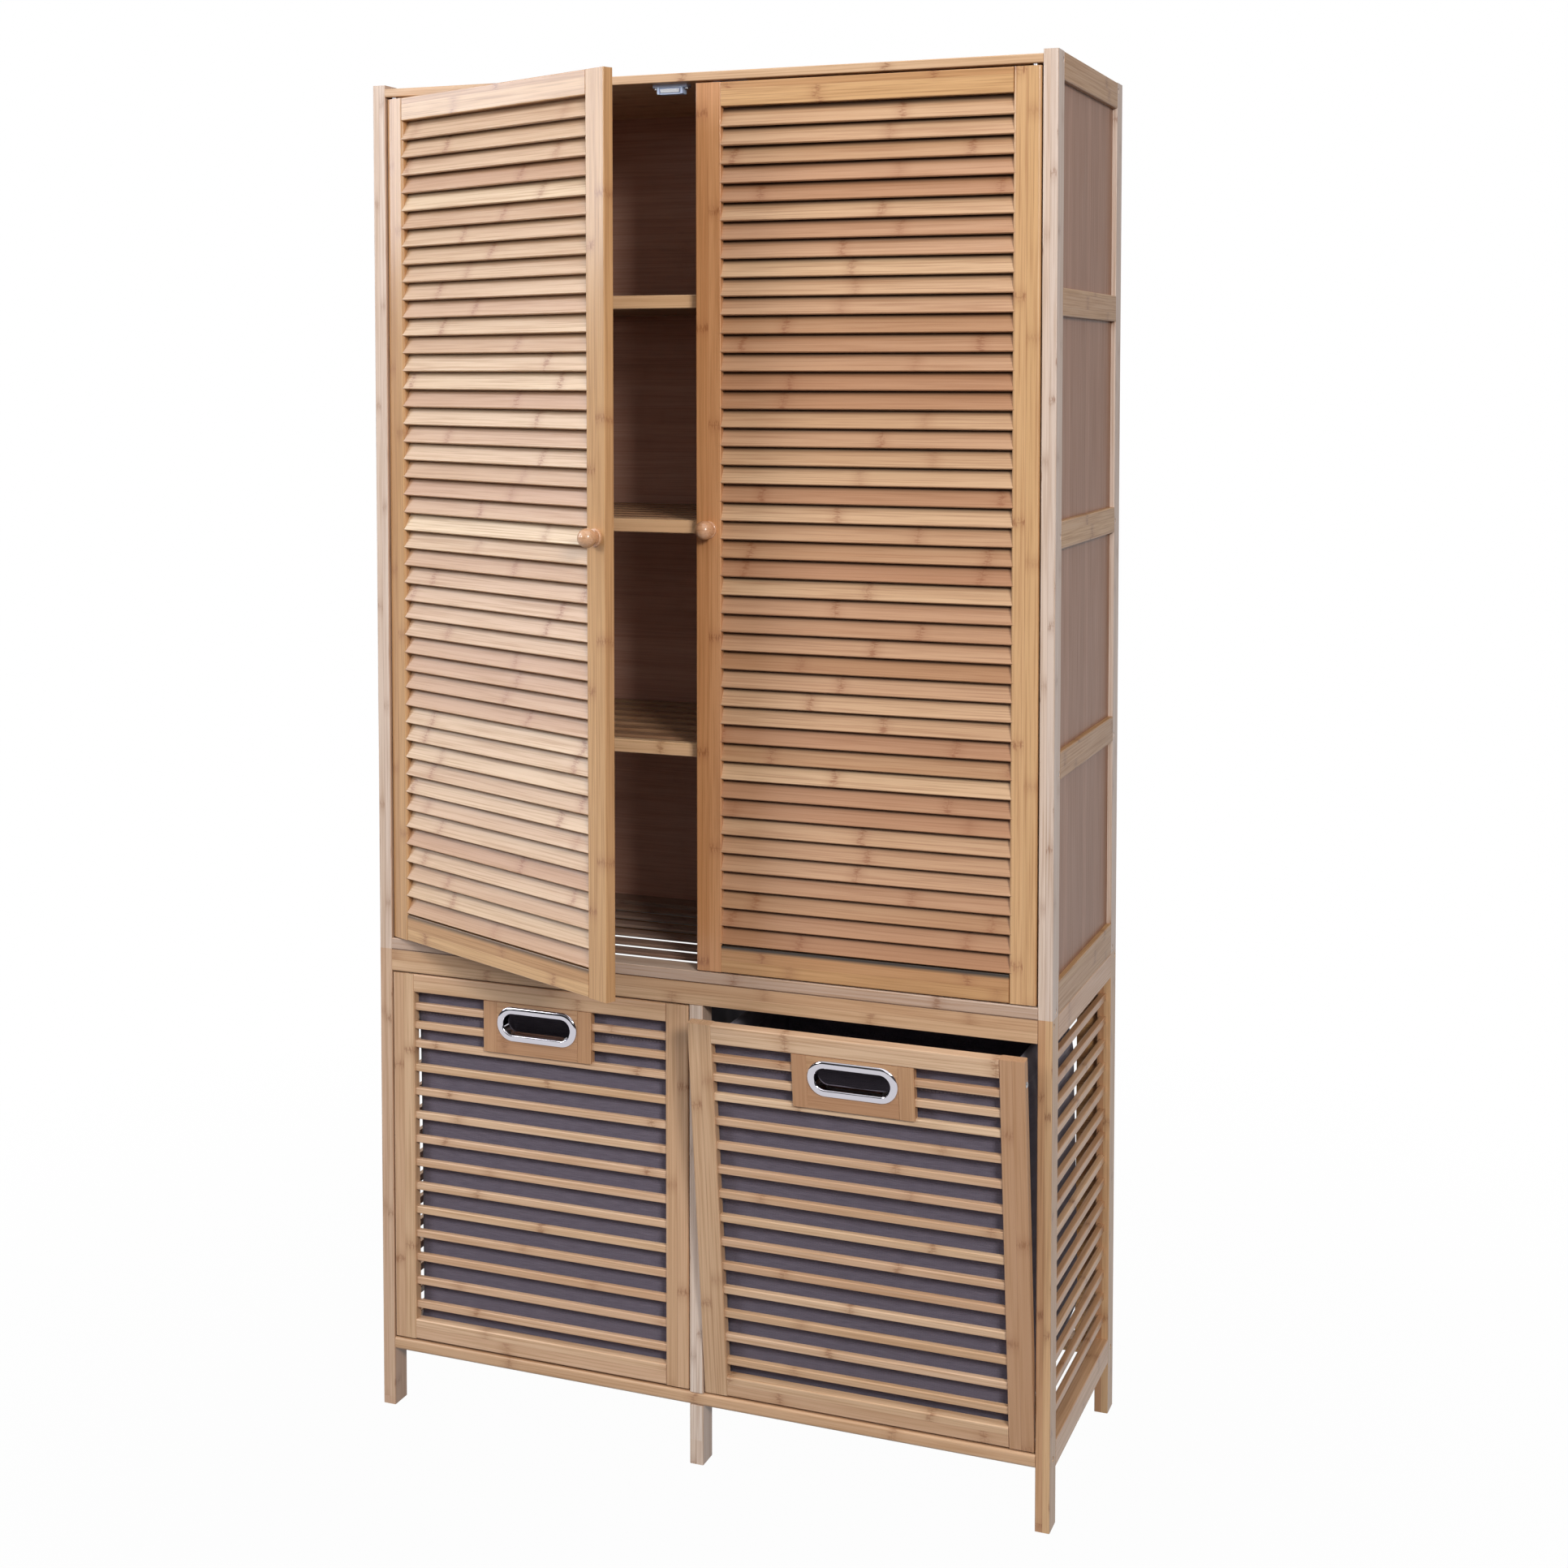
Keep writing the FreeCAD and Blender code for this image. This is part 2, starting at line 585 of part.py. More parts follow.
free_stile = bar((door_x[0], clear_x[0]), door_y, door_z, z_axis)
hinge_stile = bar((clear_x[1], door_x[1]), door_y, door_z, z_axis, door_hinge_round)
stile_cuts = door_mortises + louvre_mortises + pivot_cuts + [knob_hole, knob_head_hole]
door = {
    "stiles": [carve(free_stile, stile_cuts), carve(hinge_stile, stile_cuts)],
    "rails": [carve(rail, [strike_hole]) for rail, cuts in door_rails],
    "louvres": [louvre(z, 0, louvre_round) for z in louvre_zs],
    "knob": [carve(knob(), [knob_hole])],
    "screws": [knob_screw, strike_pin],
    "strike_plate": [strike_plate],
    "pivot_pins": pivots,
}
left_pivot = FreeCAD.Vector(-pivot_x, pivot_y, 0)
for piece, solids in door.items():
    nodes["right_door_" + piece] = solids
    nodes["left_door_" + piece] = turned(mirrored(solids), left_pivot, z_axis, -left_door_ajar_deg)

# Hampers, built upright: a slatted front with a handle, and a bag that hangs on a wire behind it

hamper_x = (middle_x[1] + hamper_side_gap, inner_x - hamper_side_gap)
hamper_y = (front_y, front_y + hamper_t)
hamper_z = (hamper_foot_z, lower_rail_z - hamper_top_gap)
hamper_middle = (hamper_x[0] + hamper_x[1]) / 2
open_x = (hamper_x[0] + hamper_stile_w, hamper_x[1] - hamper_stile_w)
open_z = (hamper_z[0] + hamper_foot_rail_h, hamper_z[1] - hamper_top_rail_h)
bar_y = (front_y + hamper_slat_recess, front_y + hamper_slat_recess + hamper_slat_t)
plate_x = (hamper_middle - plate_w / 2, hamper_middle + plate_w / 2)
plate_y = (front_y, front_y + plate_t)
plate_z = (open_z[1] - plate_h, open_z[1])

# Slats: short ones beside the handle plate, one that laps its lower edge, and full ones below
lap_top = plate_z[0] + plate_lap
short_gap = (open_z[1] - lap_top - hamper_short_slats * hamper_slat_h) / (hamper_short_slats + 1)
short_zs = [open_z[1] - (step + 1) * (short_gap + hamper_slat_h) for step in range(hamper_short_slats)]
lap_z = lap_top - hamper_slat_h
low_last = open_z[0] + hamper_slat_foot_gap
low_zs = spread(lap_z, low_last, hamper_low_slats + 1)
long_x = (open_x[0] - slat_tenon, open_x[1] + slat_tenon)
short_xs = ((long_x[0], plate_x[0] + slat_tenon), (plate_x[1] - slat_tenon, long_x[1]))
bar_spans = [(x, bar_y, (z, z + hamper_slat_h)) for z in short_zs for x in short_xs]
bar_spans += [(long_x, bar_y, (z, z + hamper_slat_h)) for z in low_zs]
bar_mortises = [grown(*span) for span in bar_spans]


def stadium(length, height, y, thickness):
    """A flat bar with half-round ends, standing upright at a depth."""
    half = (length - height) / 2
    radius = height / 2
    corners = [FreeCAD.Vector(x, y, z) for x, z in ((-half, -radius), (half, -radius), (half, radius), (-half, radius))]
    right = Part.Arc(corners[1], FreeCAD.Vector(half + radius, y, 0), corners[2])
    left = Part.Arc(corners[3], FreeCAD.Vector(-half - radius, y, 0), corners[0])
    lines = [Part.LineSegment(corners[0], corners[1]), Part.LineSegment(corners[2], corners[3])]
    outline = Part.Wire([lines[0].toShape(), right.toShape(), lines[1].toShape(), left.toShape()])
    return Part.Face(outline).extrude(y_axis * thickness)


slot_w = grommet_w - 2 * grommet_lip
slot_h = grommet_h - 2 * grommet_lip
sleeve_w = slot_w + 2 * grommet_wall
sleeve_h = slot_h + 2 * grommet_wall
grommet_z = (plate_z[0] + plate_z[1]) / 2 + grommet_rise
grommet_place = FreeCAD.Vector(hamper_middle, 0, grommet_z)
lip = stadium(grommet_w, grommet_h, front_y - grommet_proud, grommet_proud)
lip_front = front_y - grommet_proud + joint_clear
lip = lip.makeFillet(grommet_round, [edge for edge in lip.Edges if edge.BoundBox.YMax < lip_front])
sleeve = stadium(sleeve_w, sleeve_h, front_y, plate_t)
slot = stadium(slot_w, slot_h, front_y - grommet_proud - overshoot, plate_t + grommet_proud + 2 * overshoot)
ring = lip.fuse(sleeve).cut(slot).removeSplitter().Solids[0]
face_edges = [edge for edge in ring.Edges if edge.BoundBox.YMax < lip_front]
slot_reach = slot_h / 2 + joint_clear
slot_edges = [edge for edge in face_edges if max(edge.BoundBox.ZMax, -edge.BoundBox.ZMin) < slot_reach]
grommet = ring.makeFillet(grommet_inner_round, slot_edges)
grommet.translate(grommet_place)
sleeve_hole = stadium(sleeve_w + 2 * joint_clear, sleeve_h + 2 * joint_clear, front_y - overshoot, plate_t + 2 * overshoot)
sleeve_hole.translate(grommet_place)

end_xs = ((plate_x[0], plate_x[0] + plate_end_w), (plate_x[1] - plate_end_w, plate_x[1]))
plate_cuts = bar_mortises + [sleeve_hole]
plate_board = carve(block((end_xs[0][1], end_xs[1][0]), plate_y, plate_z), plate_cuts)
plate_ends = [carve(bar(x, plate_y, plate_z, z_axis, edge_round / 2), plate_cuts) for x in end_xs]

# The wire that carries the bag slopes down to the back, and its ends are let into the stiles
slope = radians(bag_wire_slope_deg)
bag_x = (hamper_x[0] + bag_side_gap, hamper_x[1] - bag_side_gap)
bag_y = (hamper_y[1] + bag_front_gap, hamper_y[1] + bag_front_gap + bag_d)
wire_xs = (bag_x[0] + bag_wall / 2, bag_x[1] - bag_wall / 2)
wire_z = hamper_z[1] - bag_wire_drop
wire_start = -bag_wire_hold
wire_end = (bag_y[1] - bag_wall / 2 - hamper_y[1]) / cos(slope)
wire_corner = bag_wire_bend * (1 - cos(radians(45)))


def wire_point(x, run):
    """A point on the wire's plane before it is sloped."""
    return FreeCAD.Vector(x, hamper_y[1] + run, wire_z)


def wire_path():
    """The open U of the bag's wire: two arms, two bends and a rear bar."""
    low, high = wire_xs
    points = [wire_point(low, wire_start), wire_point(low, wire_end - bag_wire_bend)]
    points += [wire_point(low + bag_wire_bend, wire_end), wire_point(high - bag_wire_bend, wire_end)]
    points += [wire_point(high, wire_end - bag_wire_bend), wire_point(high, wire_start)]
    bends = [wire_point(low + wire_corner, wire_end - wire_corner)]
    bends.append(wire_point(high - wire_corner, wire_end - wire_corner))
    edges = [Part.LineSegment(points[0], points[1]), Part.Arc(points[1], bends[0], points[2])]
    edges += [Part.LineSegment(points[2], points[3]), Part.Arc(points[3], bends[1], points[4])]
    edges.append(Part.LineSegment(points[4], points[5]))
    return Part.Wire([edge.toShape() for edge in edges])


section = Part.Wire([Part.makeCircle(bag_wire_r, wire_point(wire_xs[0], wire_start), y_axis)])
bag_wire = wire_path().makePipeShell([section], True, False)
wire_hinge = FreeCAD.Vector(0, hamper_y[1], wire_z)
bag_wire = turned([bag_wire], wire_hinge, x_axis, -bag_wire_slope_deg)
wire_holes = []
for x in wire_xs:
    start = (x, hamper_y[1] - bag_wire_hold - joint_clear, wire_z)
    wire_holes.append(rod(bag_wire_r + joint_clear, start, y_axis, bag_wire_hold + overshoot + bag_wire_r))
wire_holes = turned(wire_holes, wire_hinge, x_axis, -bag_wire_slope_deg)


def bag_prism(x, y, foot, head_lift):
    """A block under the sloping wire, between two depths."""
    tops = []
    for place in y:
        tops.append(wire_z - tan(slope) * (place - hamper_y[1]) - (bag_wire_r + bag_hang) / cos(slope) + head_lift)
    corners = [(y[0], foot), (y[1], foot), (y[1], tops[1]), (y[0], tops[0])]
    points = [FreeCAD.Vector(x[0], place, z) for place, z in corners]
    return Part.Face(Part.makePolygon(points + points[:1])).extrude(x_axis * (x[1] - x[0]))


def bag_waist(x, y, foot):
    """The bag's outline from the front: full width at its rim, then drawn in down to its foot."""
    rim = wire_z - tan(slope) * (bag_y[1] - hamper_y[1]) - bag_wire_r - bag_hang
    neck = rim - bag_draw_depth
    sides = [(0.0, wire_z), (0.0, rim), (bag_draw_in, neck), (bag_draw_in + bag_taper, foot)]
    corners = [(x[0] + inset, z) for inset, z in sides] + [(x[1] - inset, z) for inset, z in reversed(sides)]
    points = [FreeCAD.Vector(place, y[0], z) for place, z in corners]
    return Part.Face(Part.makePolygon(points + points[:1])).extrude(y_axis * (y[1] - y[0]))


bag_foot = hamper_z[0] + bag_floor_gap
bag_floor = bag_foot + bag_wall
inside_x = (bag_x[0] + bag_wall, bag_x[1] - bag_wall)
inside_y = (bag_y[0] + bag_wall, bag_y[1] - bag_wall)
bag_outside = bag_prism(bag_x, bag_y, bag_foot, 0).common(bag_waist(bag_x, bag_y, bag_foot))
bag_inside = bag_prism(inside_x, inside_y, bag_floor, overshoot).common(bag_waist(inside_x, inside_y, bag_floor))
hand_reach = bag_wall + 2 * overshoot
hand_size = (slot_w + 2 * bag_hand_clear, slot_h + 2 * bag_hand_clear)
hand_hole = stadium(*hand_size, bag_y[0] - overshoot, hand_reach)
hand_hole.translate(grommet_place)
bag = carve(bag_outside, [bag_inside, hand_hole])

hamper_rail_spans = ((hamper_z[0], open_z[0]), (open_z[1], hamper_z[1]))
hamper_rails = [tenoned_rail(open_x, hamper_y, span, hamper_round) for span in hamper_rail_spans]
hamper_mortises = [cut for rail, cuts in hamper_rails for cut in cuts]
pin_length = hamper_pin_hold + hamper_side_gap + hamper_pin_reach
pin_starts = (hamper_x[0] - hamper_side_gap - hamper_pin_reach, hamper_x[1] - hamper_pin_hold)
pins = [rod(hamper_pin_r, (x, hamper_axis_y, hamper_axis_z), x_axis, pin_length) for x in pin_starts]
hold_starts = (hamper_x[0], hamper_x[1] - hamper_pin_hold - joint_clear)
hold_length = hamper_pin_hold + joint_clear
pin_holds = [rod(hamper_pin_r + pivot_run, (x, hamper_axis_y, hamper_axis_z), x_axis, hold_length) for x in hold_starts]
hamper_cuts = hamper_mortises + bar_mortises + pin_holds + wire_holes
hamper_stile_xs = ((hamper_x[0], open_x[0]), (open_x[1], hamper_x[1]))
hamper = {
    "stiles": [carve(bar(x, hamper_y, hamper_z, z_axis, hamper_round), hamper_cuts) for x in hamper_stile_xs],
    "rails": [rail for rail, cuts in hamper_rails],
    "slats": [bar(*span, x_axis) for span in bar_spans],
    "handle_plate": [plate_board] + plate_ends,
    "grommet": [grommet],
    "bag_wire": bag_wire,
    "bag": [bag],
    "pivot_pins": pins,
}
hamper_axis = FreeCAD.Vector(0, hamper_axis_y, hamper_axis_z)
for piece, solids in hamper.items():
    nodes["left_hamper_" + piece] = mirrored(solids)
    nodes["right_hamper_" + piece] = turned(solids, hamper_axis, x_axis, right_hamper_tilt_deg)

os.makedirs("parts", exist_ok=True)
for name, solids in nodes.items():
    shape = solids[0] if len(solids) == 1 else Part.makeCompound(solids)
    shape.exportStep("parts/" + name + ".step")
print(len(nodes), "nodes")
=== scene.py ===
import json
import math

import bmesh
import bpy
from mathutils import Matrix, Vector, noise


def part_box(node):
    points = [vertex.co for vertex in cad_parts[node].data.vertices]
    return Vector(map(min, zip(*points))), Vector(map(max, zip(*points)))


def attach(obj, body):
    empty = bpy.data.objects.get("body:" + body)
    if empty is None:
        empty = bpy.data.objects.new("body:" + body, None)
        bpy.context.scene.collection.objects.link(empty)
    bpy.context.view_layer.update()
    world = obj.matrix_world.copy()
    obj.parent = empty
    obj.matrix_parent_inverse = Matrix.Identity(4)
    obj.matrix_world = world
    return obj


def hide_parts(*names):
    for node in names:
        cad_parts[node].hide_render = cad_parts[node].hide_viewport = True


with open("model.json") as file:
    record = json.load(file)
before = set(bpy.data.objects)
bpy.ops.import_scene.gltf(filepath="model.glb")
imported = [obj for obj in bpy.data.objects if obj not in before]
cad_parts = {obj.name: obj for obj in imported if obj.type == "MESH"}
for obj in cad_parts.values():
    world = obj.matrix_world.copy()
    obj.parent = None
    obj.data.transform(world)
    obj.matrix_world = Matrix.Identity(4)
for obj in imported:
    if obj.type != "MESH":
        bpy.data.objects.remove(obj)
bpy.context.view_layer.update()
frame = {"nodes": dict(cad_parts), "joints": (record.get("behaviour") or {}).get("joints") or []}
nodes = frame["nodes"]
scene = bpy.context.scene
joints = {joint["name"]: joint for joint in frame["joints"]}
bothSides = ("left", "right")
shutSide = {"door": "right", "hamper": "left"}  # the leaves that stand shut at rest give the sizes


def linear(code):  # sRGB hex to linear colour
    parts = [int(code[i:i + 2], 16) / 255 for i in (0, 2, 4)]
    plainParts = [c / 12.92 if c <= 0.04045 else ((c + 0.055) / 1.055) ** 2.4 for c in parts]
    return (*plainParts, 1.0)


def openTurn(name):  # from shut to the way a door or hamper stands at rest
    joint = joints[name]
    centre = Matrix.Translation(joint["pos_m"])
    swing = Matrix.Rotation(math.radians(-joint["range_deg"][0]), 4, Vector(joint["axis"]))
    return centre @ swing @ centre.inverted()


def shutBox(side, kind, part):  # a part's box on the shut leaf, mirrored for the other leaf
    low, high = [Vector(p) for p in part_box(f"{shutSide[kind]}_{kind}_{part}")]
    if side != shutSide[kind]:
        low.x, high.x = -high.x, -low.x
    return low, high


def feed(tree, node, inputs):
    for key, value in inputs.items():
        if isinstance(value, bpy.types.NodeSocket):
            tree.links.new(value, node.inputs[key])
        else:
            node.inputs[key].default_value = value


def add(tree, kind, inputs=None, out=0, **settings):  # a node with its settings and links
    node = tree.nodes.new("ShaderNode" + kind)
    for key, value in settings.items():
        setattr(node, key, value)
    feed(tree, node, inputs or {})
    return node.outputs[out]


def blank(name):
    material = bpy.data.materials.new(name)
    material.use_nodes = True
    return material, material.node_tree, material.node_tree.nodes["Principled BSDF"]


# grain space: x along the grain, y across the strips, z through the layers
lays = {
    "x": ((1, 0, 0), (0, 0, 1), (0, -1, 0)),
    "xFlat": ((1, 0, 0), (0, 1, 0), (0, 0, 1)),
    "y": ((0, 1, 0), (0, 0, 1), (1, 0, 0)),
    "z": ((0, 0, 1), (1, 0, 0), (0, 1, 0)),
    "zSide": ((0, 0, 1), (0, 1, 0), (-1, 0, 0)),
}
upright = Matrix.Identity(4)

# the bamboo's pattern: noise in waves per metre of grain space with its detail, lengths in metres
grain = {
    "waves": {"streak": ((3.0, 210.0, 210.0), 2.0), "cloud": ((5.0, 22.0, 22.0), 2.0),
              "wander": ((0.0, 130.0, 130.0), 2.0), "dash": ((110.0, 620.0, 620.0), 1.0)},
    "fibres": (7.0, 470.0, 470.0), "shuffle": 40.0, "bend": 0.009, "seam": 0.0005,
    "line": {"From Min": 0.0003, "From Max": 0.0016, "To Min": 1.0, "To Max": 0.0},
    "band": {"From Min": 0.0015, "From Max": 0.008, "To Min": 1.0, "To Max": 0.0},
    "stain": {"From Min": 0.0, "From Max": 0.02, "To Min": 1.0, "To Max": 0.0},
    "dash": {"From Min": 0.47, "From Max": 0.6}, "unbroken": 0.4,
    "shown": {"From Min": 0.1, "From Max": 0.5, "To Min": 0.3},
    "tone": {"From Min": 0.6, "From Max": 1.6}, "mottle": {"streak": 0.7, "cloud": 0.5},
    "fibre": {"From Min": 0.45, "From Max": 0.66},
    "satin": {"From Min": 0.3, "From Max": 0.8, "To Min": 0.34, "To Max": 0.5},
    "groove": 0.6, "swell": 0.5, "relief": 0.0003, "bump": 0.3,
}
cover = {"fibre": 0.5, "stain": 0.2, "knuckle": 0.62, "seam": 0.35, "mate": 0.6}  # of the layers of colour
# painted shade on parts of a piece, where shade falls under and between parts; depths below the top of the
# place that they darken
paintedShade = {
    "joint": {"from": 0.0014, "to": 0.0006, "weight": 0.75, "colour": "3f2517"},
    "tuck": {"colour": "1d0e08"},
    "gap": {"from": 0.0078, "to": 0.0018, "over": 0.001, "colour": "100804"},
    "deep": {"weight": 0.7, "colour": "5e3524"},
}


def grainSpace(tree, where, lay, turn):
    way = Matrix(lay).to_4x4() @ turn.inverted()
    inputs = {"Vector": where, "Location": way.to_translation(), "Rotation": way.to_euler()}
    return add(tree, "Mapping", inputs)


def boardSpace(tree, where, look):
    space = grainSpace(tree, where, look["lay"], look["turn"])
    if "plate" not in look:
        return space
    middle, half = look["plate"]  # the end boards of a handle plate stand upright
    shut = grainSpace(tree, where, lays["xFlat"], look["turn"])
    offset = add(tree, "SeparateXYZ", {"Vector": shut})
    offset = add(tree, "Math", {0: offset, 1: middle}, operation="SUBTRACT")
    offset = add(tree, "Math", {0: offset}, operation="ABSOLUTE")
    atEnd = add(tree, "Math", {0: offset, 1: half}, operation="GREATER_THAN")
    ends = grainSpace(tree, where, lays["z"], look["turn"])
    return add(tree, "Mix", {0: atEnd, 4: space, 5: ends}, out=1, data_type="VECTOR")


# a thin line across the strip in a cluster of short dashes along the grain, and a stain around it
def knuckles(tree, along, step, chance, waves):
    run = add(tree, "Math", {0: along, 1: 1 / step, 2: chance["Red"]}, operation="MULTIPLY_ADD")
    run = add(tree, "Math", {0: run}, operation="FRACT")
    away = add(tree, "Math", {0: run, 1: step, 2: -0.5 * step}, operation="MULTIPLY_ADD")
    inputs = {0: waves["wander"], 1: grain["bend"], 2: -0.5 * grain["bend"]}
    bend = add(tree, "Math", inputs, operation="MULTIPLY_ADD")
    bent = add(tree, "Math", {0: away, 1: bend}, operation="ADD")
    bent = add(tree, "Math", {0: bent}, operation="ABSOLUTE")
    fades = {}
    for key in ("line", "band", "stain"):
        fades[key] = add(tree, "MapRange", {"Value": bent, **grain[key]}, interpolation_type="SMOOTHSTEP")
    dash = add(tree, "MapRange", {"Value": waves["dash"], **grain["dash"]})
    band = add(tree, "Math", {0: fades["band"], 1: dash}, operation="MULTIPLY")
    inputs = {0: dash, 1: 1 - grain["unbroken"], 2: grain["unbroken"]}
    broken = add(tree, "Math", inputs, operation="MULTIPLY_ADD")
    line = add(tree, "Math", {0: fades["line"], 1: broken}, operation="MULTIPLY")
    knuckle = add(tree, "Math", {0: line, 1: band}, operation="MAXIMUM")
    shown = add(tree, "MapRange", {"Value": chance["Green"], **grain["shown"]})
    knuckle = add(tree, "Math", {0: knuckle, 1: shown}, operation="MULTIPLY")
    mottle = add(tree, "Math", {0: waves["streak"], 1: waves["cloud"]}, operation="ADD")
    stain = add(tree, "Math", {0: fades["stain"], 1: mottle}, operation="MULTIPLY")
    return knuckle, stain


# painted shade laid over the colour of some pieces
def paintedShadeLayers(tree, place, across, row, look):
    layers = []
    if "joint" in look:  # painted shadow line in the joint where another unit stands on the piece
        joint, top = paintedShade["joint"], look["joint"]
        inputs = {"Value": place[2], "From Min": top - joint["from"], "From Max": top - joint["to"]}
        layers.append((add(tree, "MapRange", inputs), joint["weight"], joint["colour"]))
    if "tuck" in look:  # painted shade on the edge that is tucked under the next louvre, where the louvre above shades it
        tuck = look["tuck"]
        own = add(tree, "Math", {0: row, 1: -tuck["pitch"], 2: across}, operation="MULTIPLY_ADD")
        inputs = {"Value": own, "From Min": tuck["from"], "From Max": tuck["to"]}
        mask = add(tree, "MapRange", inputs, interpolation_type="SMOOTHSTEP")
        layers.append((mask, tuck["weight"], paintedShade["tuck"]["colour"]))
    if "gap" in look:  # shade on the bottom rail, where the lowest louvre leaves a gap
        gap, top = paintedShade["gap"], look["gap"]["top"]
        under = add(tree, "Math", {0: place[2], 1: top + gap["over"]}, operation="LESS_THAN")
        inputs = {"Value": place[2], "From Min": top - gap["from"], "From Max": top - gap["to"]}
        shade = add(tree, "MapRange", inputs, interpolation_type="SMOOTHSTEP")
        mask = add(tree, "Math", {0: shade, 1: under}, operation="MULTIPLY")
        layers.append((mask, look["gap"]["weight"], gap["colour"]))
    if "deep" in look:  # painted shade: slats behind a front rail are drawn darker, as they lie in shade while light reaches only the rail
        mask = add(tree, "Math", {0: place[1], 1: look["deep"]}, operation="GREATER_THAN")
        layers.append((mask, paintedShade["deep"]["weight"], paintedShade["deep"]["colour"]))
    return layers


# laminated bamboo under satin lacquer: glued strips of differing tone, fine fibres along the grain,
# and a broken brown line with a stain where the culm had a knuckle
def bamboo(name, look):
    material, tree, shader = blank(name)
    where = add(tree, "TexCoord", out="Object")
    place = add(tree, "SeparateXYZ", {"Vector": where}).node.outputs
    space = boardSpace(tree, where, look)
    ways = add(tree, "SeparateXYZ", {"Vector": space}).node.outputs

    # one tone, one stain and one run of knuckles for each strip
    stripScale = (0.0, 1 / look["strip"], 1 / look["layer"])
    stripShift = (look["seed"], -look["start"] / look["strip"], -look["base"] / look["layer"])
    cells = add(tree, "VectorMath", {0: space, 1: stripScale, 2: stripShift}, operation="MULTIPLY_ADD")
    cell = add(tree, "VectorMath", {0: cells}, operation="FLOOR")
    row = add(tree, "SeparateXYZ", {"Vector": cell}, out=2)
    dice = add(tree, "TexWhiteNoise", {"Vector": cell}, noise_dimensions="3D").node.outputs
    chance = add(tree, "SeparateColor", {"Color": dice["Color"]}).node.outputs
    shift = add(tree, "VectorMath", {0: dice["Color"], "Scale": grain["shuffle"]}, operation="SCALE")
    waves = {}
    for key, (scale, detail) in grain["waves"].items():
        spot = add(tree, "VectorMath", {0: space, 1: scale, 2: shift}, operation="MULTIPLY_ADD")
        waves[key] = add(tree, "TexNoise", {"Vector": spot, "Scale": 1.0, "Detail": detail})
    fibreAt = add(tree, "VectorMath", {0: space, 1: grain["fibres"]}, operation="MULTIPLY")
    fibre = add(tree, "TexNoise", {"Vector": fibreAt, "Scale": 1.0, "Detail": 3.0, "Roughness": 0.6})
    knuckle, stain = knuckles(tree, ways[0], look["step"], chance, waves)
    edge = add(tree, "VectorMath", {0: cells}, operation="FRACTION")
    edge = add(tree, "SeparateXYZ", {"Vector": edge}, out=1)
    edge = add(tree, "Math", {0: edge, 1: 0.5}, operation="SUBTRACT")
    edge = add(tree, "Math", {0: edge}, operation="ABSOLUTE")
    inputs = {"Value": edge, "From Min": 0.5 - grain["seam"] / look["strip"], "From Max": 0.5}
    seam = add(tree, "MapRange", inputs)

    # colour: strip tone, streaks and clouds, then fibres, stain, knuckles and glue lines, then painted shade
    # on some pieces
    spread = look["spread"]
    tone = add(tree, "Math", {0: dice["Value"], 1: spread, 2: 0.5 - spread / 2}, operation="MULTIPLY_ADD")
    for key, share in grain["mottle"].items():
        tone = add(tree, "Math", {0: waves[key], 1: share, 2: tone}, operation="MULTIPLY_ADD")
    tone = add(tree, "MapRange", {"Value": tone, **grain["tone"]})
    inputs = {0: tone, 6: linear(look["dark"]), 7: linear(look["light"])}
    colour = add(tree, "Mix", inputs, out=2, data_type="RGBA")
    layers = [(chance["Blue"], look["blush"], look["rosy"])]
    if "mate" in look:  # the second strip or stile is drawn in another tone: its own tone on the lower right leg and the right hamper, a painted sheen on the upper right post, and partly painted light on the right door
        border, code = look["mate"]
        second = add(tree, "Math", {0: place[0], 1: border}, operation="GREATER_THAN")
        layers.append((second, cover["mate"], code))
    layers += [
        (add(tree, "MapRange", {"Value": fibre, **grain["fibre"]}), cover["fibre"], look["fibre"]),
        (stain, cover["stain"] * look["knots"], look["knot"]),
        (knuckle, cover["knuckle"] * look["knots"], look["knot"]),
        (seam, cover["seam"], look["knot"]),
    ]
    for mask, weight, code in layers + paintedShadeLayers(tree, place, ways[1], row, look):
        amount = add(tree, "Math", {0: mask, 1: weight}, operation="MULTIPLY")
        colour = add(tree, "Mix", {0: amount, 6: colour, 7: linear(code)}, out=2, data_type="RGBA")
    rough = add(tree, "MapRange", {"Value": fibre, **grain["satin"]})
    relief = add(tree, "Math", {0: seam, 1: -grain["groove"], 2: fibre}, operation="MULTIPLY_ADD")
    relief = add(tree, "Math", {0: knuckle, 1: grain["swell"], 2: relief}, operation="MULTIPLY_ADD")
    inputs = {"Height": relief, "Distance": grain["relief"], "Strength": grain["bump"]}
    feed(tree, shader, {
        "Base Color": colour, "Roughness": rough, "Normal": add(tree, "Bump", inputs),
        "Specular IOR Level": look["gloss"], "Coat Weight": look["coat"], "Coat Roughness": look["coatRough"],
    })
    return material


metal = {"brush": (300.0, 2200.0, 2200.0), "film": 120.0, "relief": 0.0001}  # waves per metre, and metres


# plated metal: a clean reflection that fingers and polishing have dulled a little
def plate(name, look):
    material, tree, shader = blank(name)
    where = add(tree, "TexCoord", out="Object")
    brushAt = add(tree, "VectorMath", {0: where, 1: metal["brush"]}, operation="MULTIPLY")
    brush = add(tree, "TexNoise", {"Vector": brushAt, "Scale": 1.0, "Detail": 2.0})
    film = add(tree, "TexNoise", {"Vector": where, "Scale": metal["film"], "Detail": 3.0})
    rough = add(tree, "Math", {0: brush, 1: look["brush"], 2: look["rough"]}, operation="MULTIPLY_ADD")
    rough = add(tree, "Math", {0: film, 1: look["film"], 2: rough}, operation="MULTIPLY_ADD")
    normal = add(tree, "Bump", {"Height": brush, "Distance": metal["relief"], "Strength": look["brush"]})
    inputs = {"Base Color": linear(look["colour"]), "Metallic": 1.0, "Roughness": rough, "Normal": normal}
    feed(tree, shader, inputs)
    return material


